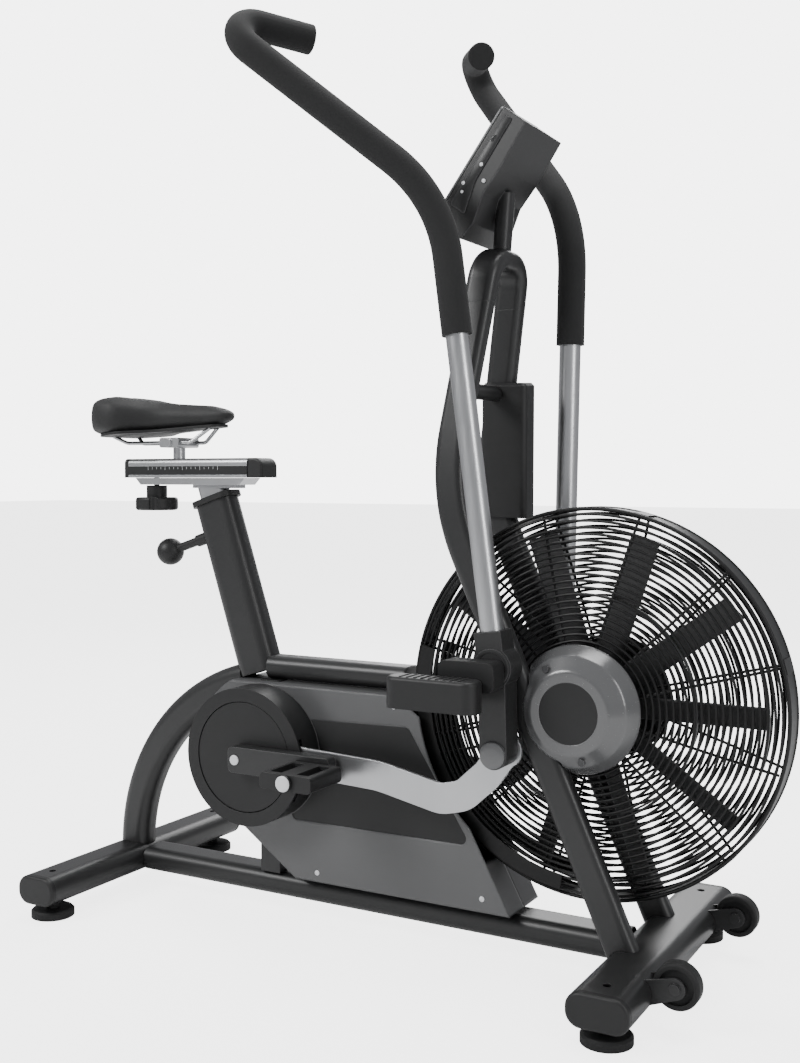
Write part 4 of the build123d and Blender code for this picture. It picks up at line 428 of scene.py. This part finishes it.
def crank_caps():
    """The pale bolt in each crank's middle and the cap on each pedal spindle."""
    for side, way in SIDES:
        pedal_low, pedal_high = corners("pedal_" + side)
        arms_low, arms_high = corners("crank_arms")
        inner = pedal_low.y if way > 0 else pedal_high.y
        outer = arms_high.y if way > 0 else arms_low.y
        crank, spindle = PIVOT["crank_spin"], PIVOT[f"pedal_{side}_spin"]
        shape = bmesh.new()
        turned(shape, cap_profile(8.5 * MM, inner - way * 2.9 * MM, way, 2.6 * MM, MM),
               (crank.x, 0, crank.z), 32)
        turned(shape, cap_profile(12.5 * MM, outer, way, 3 * MM, 1.5 * MM), (spindle.x, 0, spindle.z), 40)
        made_piece("crank_caps_" + side, shape, "crank", "steel", PALE)


def joint_place(side):
    """The lower joint of a lever at rest, from the link's front and the casting's lower edge."""
    return corners("link_" + side)[1].x - LINK_EYE, corners("lever_" + side)[0].z + JOINT_BOSS


def joint_caps():
    """The moulded cap over each lever's lower joint."""
    for side, way in SIDES:
        low, high = corners("lever_" + side)
        face = high.y if way > 0 else low.y
        x, z = joint_place(side)
        shape = bmesh.new()
        turned(shape, cap_profile(20 * MM, face, way, 4 * MM, 2 * MM), (x, 0, z), 48)
        made_piece("joint_cap_" + side, shape, "lever_" + side, "dark_plastic", EDGING)


def slide_ticks():
    """Fine scale marks on each side of the saddle rail."""
    low, high = corners("slide_trim")
    middle = (low.z + high.z) / 2
    for side, way in SIDES:
        face = high.y if way > 0 else low.y
        shape = bmesh.new()
        for i in range(17):
            x = low.x + (high.x - low.x) * (0.18 + 0.032 * i)
            half = (3.5 if i % 4 == 0 else 2) * MM
            plate(shape, [(x, middle - half), (x + 0.8 * MM, middle - half), (x + 0.8 * MM, middle + half),
                          (x, middle + half)], face, face + way * 0.15 * MM)
        made_piece("slide_ticks_" + side, shape, "saddle", "satin_silver", TICKS)


def boss_rings():
    """A raised ring round each lever's pivot."""
    for side, way in SIDES:
        low, high = corners("lever_" + side)
        face = high.y - 2 * MM if way > 0 else low.y + 2 * MM
        pivot = PIVOT[f"lever_{side}_swing"]
        shape = bmesh.new()
        turned(shape, ring_profile(29 * MM, 23 * MM, face, way, MM), (pivot.x, 0, pivot.z), 48)
        made_piece("boss_ring_" + side, shape, "lever_" + side, "dark_casting")


def footrest_treads():
    """Rubber ribs across the top of each footrest."""
    low, high = corners("footrests")
    for side, way in SIDES:
        near, far = (FOOTREST_NEAR, FOOTREST_FAR) if way > 0 else (-FOOTREST_FAR, -FOOTREST_NEAR)
        top = low.z + FOOTREST_HEIGHT
        shape = bmesh.new()
        for i in range(9):
            x = low.x + (24 + 12 * i) * MM
            plate(shape, [(x, top - 0.5 * MM), (x + 5 * MM, top - 0.5 * MM), (x + 4 * MM, top + 1.2 * MM),
                          (x + MM, top + 1.2 * MM)], near + 6 * MM, far - 6 * MM, 0.4 * MM)
        made_piece("footrest_tread_" + side, shape, "frame", "black_rubber")


# ------------------------------------------------------------------ console
# Millimetres along the face from its lower end, and back from it.
FLANGE = [(8, 9), (165, 9), (165, 24), (60, 26), (8, 40)]
SLOT = [(120, 12), (132, 12), (132, 17), (120, 17)]
SIDE_SCREWS = ((84, 20, 3), (66, 38, 3), (34, 16, 2.5), (46, 10, 3))    # and their radii
SCREEN_START = 46
FACE_TOP = 172.5
FACE_OPENING = (42, 156)
BUTTONS = 4
BUTTON_PITCH = 26
BUTTON_ROW = 22


def console_axes():
    """The lower end of the console's face, and the directions along it and to its back."""
    low, high = corners("console_screen")
    along = Vector((high.x - low.x, 0, high.z - low.z)).normalized()
    back = Vector((along.z, 0, -along.x))
    return Vector((low.x, 0, low.z)) - along * SCREEN_START * MM, along, back


def console_face():
    """The edging round the console's face, framing its screen, and the buttons on its face."""
    start, along, back = console_axes()
    body_low, body_high = corners("console_body")
    half = (body_high.y - body_low.y) / 2
    wide, top = half + MM, FACE_TOP * MM
    box = [(-wide, -MM), (wide, -MM), (wide, top), (-wide, top)]
    low, high = (z * MM for z in FACE_OPENING)
    inside = [(-60 * MM, low), (60 * MM, low), (60 * MM, high), (-60 * MM, high)]
    shape = bmesh.new()
    window(shape, rounded(box, 10 * MM), rounded(inside, 6 * MM), 0.2 * MM, 3.2 * MM)
    set_on(shape, start, Vector((0, -1, 0)), -back, along)
    made_piece("console_edging", shape, "frame", "console_plastic", EDGING)
    shape = bmesh.new()
    button = cap_profile(6.5 * MM, 3.0 * MM, 1, 2.2 * MM, MM)
    for i in range(BUTTONS):
        across = (i - (BUTTONS - 1) / 2) * BUTTON_PITCH * MM
        turned(shape, button, (across, 0, BUTTON_ROW * MM), 28)
    set_on(shape, start, Vector((0, -1, 0)), -back, along)
    made_piece("console_buttons", shape, "frame", "black_rubber")


def console_sides():
    """A dark flange, a slot and pale screws on each side of the console."""
    start, along, back = console_axes()
    low, high = corners("console_body")
    for side, way in SIDES:
        face = high.y if way > 0 else low.y

        def outline(points, radius):
            spots = [start + along * u * MM + back * v * MM for u, v in points]
            return rounded([(p.x, p.z) for p in spots], radius * MM)

        shape = bmesh.new()
        plate(shape, outline(FLANGE, 5), face, face + way * 1.5 * MM, 0.5 * MM)
        made_piece("console_flange_" + side, shape, "frame", "console_plastic")
        shape = bmesh.new()
        plate(shape, outline(SLOT, 2), face + way * 1.4 * MM, face + way * 1.8 * MM)
        made_piece("console_slot_" + side, shape, "frame", "console_plastic", FINISH["screen_glass"])
        shape = bmesh.new()
        for u, v, radius in SIDE_SCREWS:
            spot = start + along * u * MM + back * v * MM
            turned(shape, cap_profile(radius * MM, face, way, 2.4 * MM, 0.8 * MM), (spot.x, 0, spot.z), 20)
        made_piece("console_screws_" + side, shape, "frame", "steel", PALE)


# ------------------------------------------------------------------ saddle
SKIN_STEP = 4 * MM          # size of the remeshed skin's faces
SKIN_ROUNDS = 85            # of smoothing, which round the cushion's edge
SWELL = 5 * MM              # the most that the air may move a point
GROOVE_DEPTH = 3 * MM       # of the shallow channel along the top
GROOVE_HALF = 16 * MM
GROOVE_FLOOR = 35 * MM      # above the pad's lowest point


def evaluated_copy(made):
    """The mesh that an object's modifiers give, kept as its own."""
    bpy.context.view_layer.update()
    result = bpy.data.meshes.new_from_object(made.evaluated_get(bpy.context.evaluated_depsgraph_get()))
    made.modifiers.clear()
    made.data = result


def puffed(made, cap):
    """Fills a closed skin with air for a moment, and caps how far a point may move."""
    rest = [v.co.copy() for v in made.data.vertices]
    cloth = made.modifiers.new("air", "CLOTH")
    cloth.settings.use_pressure = True
    cloth.settings.uniform_pressure_force = 4
    cloth.settings.effector_weights.gravity = 0
    scene = bpy.context.scene
    for step in range(1, 21):
        scene.frame_set(step)
    evaluated_copy(made)
    scene.frame_set(1)
    for vertex, start in zip(made.data.vertices, rest):
        move = vertex.co - start
        if move.length > cap:
            vertex.co = start + move.normalized() * cap


def saddle_cushion():
    """The padded top: remeshed, rounded at its edge, puffed and softened."""
    low, high = corners("saddle_pad")
    shape = bmesh.new()
    shape.from_mesh(NODES["saddle_pad"].data)
    made = made_piece("saddle_cushion", shape, "saddle", "saddle_vinyl")
    remesh = made.modifiers.new("skin", "REMESH")
    remesh.mode = "VOXEL"
    remesh.voxel_size = SKIN_STEP
    evaluated_copy(made)
    shape = bmesh.new()
    shape.from_mesh(made.data)
    for _ in range(SKIN_ROUNDS):
        bmesh.ops.smooth_vert(shape, verts=shape.verts, factor=0.5, use_axis_x=True, use_axis_y=True,
                              use_axis_z=True)
    points = [v.co for v in shape.verts]
    small_low = Vector([min(p[i] for p in points) for i in range(3)])
    small_high = Vector([max(p[i] for p in points) for i in range(3)])
    for vertex in shape.verts:
        for i in range(3):
            share = (vertex.co[i] - small_low[i]) / (small_high[i] - small_low[i])
            inset = 2 * MM if i < 2 else MM
            vertex.co[i] = low[i] + inset + share * (high[i] - low[i] - 2 * inset)
    shape.to_mesh(made.data)
    shape.free()
    puffed(made, SWELL)
    centre_y = (low.y + high.y) / 2
    for vertex in made.data.vertices:
        back = (vertex.co.x - low.x) / (high.x - low.x)
        if vertex.co.z <= low.z + GROOVE_FLOOR:
            continue
        dip = max(0, 1 - abs(vertex.co.y - centre_y) / GROOVE_HALF)
        vertex.co.z -= GROOVE_DEPTH * dip * dip * (3 - 2 * dip) * sin(pi * min(max(back, 0), 1))
    made.data.materials.clear()
    made.data.materials.append(FINISH["saddle_vinyl"])
    soft = made.modifiers.new("soft", "SUBSURF")
    soft.levels = 1
    soft.render_levels = 1
    made.data.shade_smooth()
    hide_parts("saddle_pad")


# ------------------------------------------------------------------ the studio
VIEW_AROUND = 29.3          # degrees round from the right side
VIEW_DOWN = 2.45            # degrees
VIEW_LENS = 42.73           # millimetres
VIEW_PLACE = (1.0242, -1.8374, 0.7682)
LAMPS = (                   # name, place, size and power
    ("key", (-2.2, -3.0, 3.2), (1.6, 1.6), 190),
    ("side", (3.4, -1.2, 1.8), (0.8, 2.4), 60),
    ("top", (0.2, 0.4, 3.6), (2.4, 1.2), 110),
    ("back", (-1.0, 3.2, 2.2), (2.0, 2.0), 80),
)
LIT_POINT = (0, 0, 0.7)


def flat_stage(name, points, material):
    shape = bmesh.new()
    shape.faces.new([shape.verts.new(p) for p in points])
    mesh = bpy.data.meshes.new(name)
    shape.to_mesh(mesh)
    shape.free()
    mesh.materials.append(material)
    made = bpy.data.objects.new(name, mesh)
    bpy.context.scene.collection.objects.link(made)


def lamp(name, place, target, size, power):
    light = bpy.data.lights.new(name, "AREA")
    light.shape = "RECTANGLE"
    light.size, light.size_y = size
    light.energy = power
    made = bpy.data.objects.new(name, light)
    made.location = place
    made.rotation_euler = (Vector(target) - Vector(place)).to_track_quat("-Z", "Y").to_euler()
    bpy.context.scene.collection.objects.link(made)


def seen_white(tree, shader, strength, share, sink):
    """Adds white that only the lens sees, so that the backdrop is pale and the light stays soft."""
    white = node(tree, "ShaderNodeEmission" if share < 1 else "ShaderNodeBackground")
    white.inputs["Strength"].default_value = strength
    white.inputs["Color"].default_value = (1, 1, 1, 1)
    path = node(tree, "ShaderNodeLightPath")
    amount = node(tree, "ShaderNodeMath", operation="MULTIPLY")
    amount.inputs[1].default_value = share
    blend = node(tree, "ShaderNodeMixShader")
    tree.links.new(path.outputs["Is Camera Ray"], amount.inputs[0])
    tree.links.new(amount.outputs[0], blend.inputs[0])
    tree.links.new(shader, blend.inputs[1])
    tree.links.new(white.outputs[0], blend.inputs[2])
    tree.links.new(blend.outputs[0], sink)


def studio():
    """A pale floor, soft lights all round and a pale world."""
    floor = bpy.data.materials.new("pale floor")
    floor.use_nodes = True
    tree = floor.node_tree
    matt = tree.nodes["Principled BSDF"]
    matt.inputs["Base Color"].default_value = (0.9, 0.9, 0.9, 1)
    matt.inputs["Roughness"].default_value = 0.9
    seen_white(tree, matt.outputs[0], 7.0, 0.5, tree.nodes["Material Output"].inputs["Surface"])
    flat_stage("floor", [(-30, -30, 0), (30, -30, 0), (30, 30, 0), (-30, 30, 0)], floor)
    world = bpy.data.worlds.new("pale room")
    world.use_nodes = True
    tree = world.node_tree
    sky = tree.nodes["Background"]
    sky.inputs["Color"].default_value = (0.96, 0.97, 1, 1)
    sky.inputs["Strength"].default_value = 0.55
    seen_white(tree, sky.outputs[0], 5.5, 1, tree.nodes["World Output"].inputs["Surface"])
    bpy.context.scene.world = world
    for name, place, size, power in LAMPS:
        lamp(name, place, LIT_POINT, size, power)


def camera():
    """The viewpoint: from the front right, a little downwards."""
    around, down = radians(VIEW_AROUND), radians(VIEW_DOWN)
    lens = bpy.data.cameras.new("camera")
    lens.sensor_width = 36
    lens.lens = VIEW_LENS
    made = bpy.data.objects.new("camera", lens)
    made.location = VIEW_PLACE
    ahead = Vector((-sin(around) * cos(down), cos(around) * cos(down), -sin(down)))
    made.rotation_euler = ahead.to_track_quat("-Z", "Y").to_euler()
    bpy.context.scene.collection.objects.link(made)
    bpy.context.scene.camera = made


camera()
studio()
shroud_panels()
shroud_screws()
crank_caps()
joint_caps()
boss_rings()
footrest_treads()
console_face()
console_sides()
slide_ticks()
saddle_cushion()
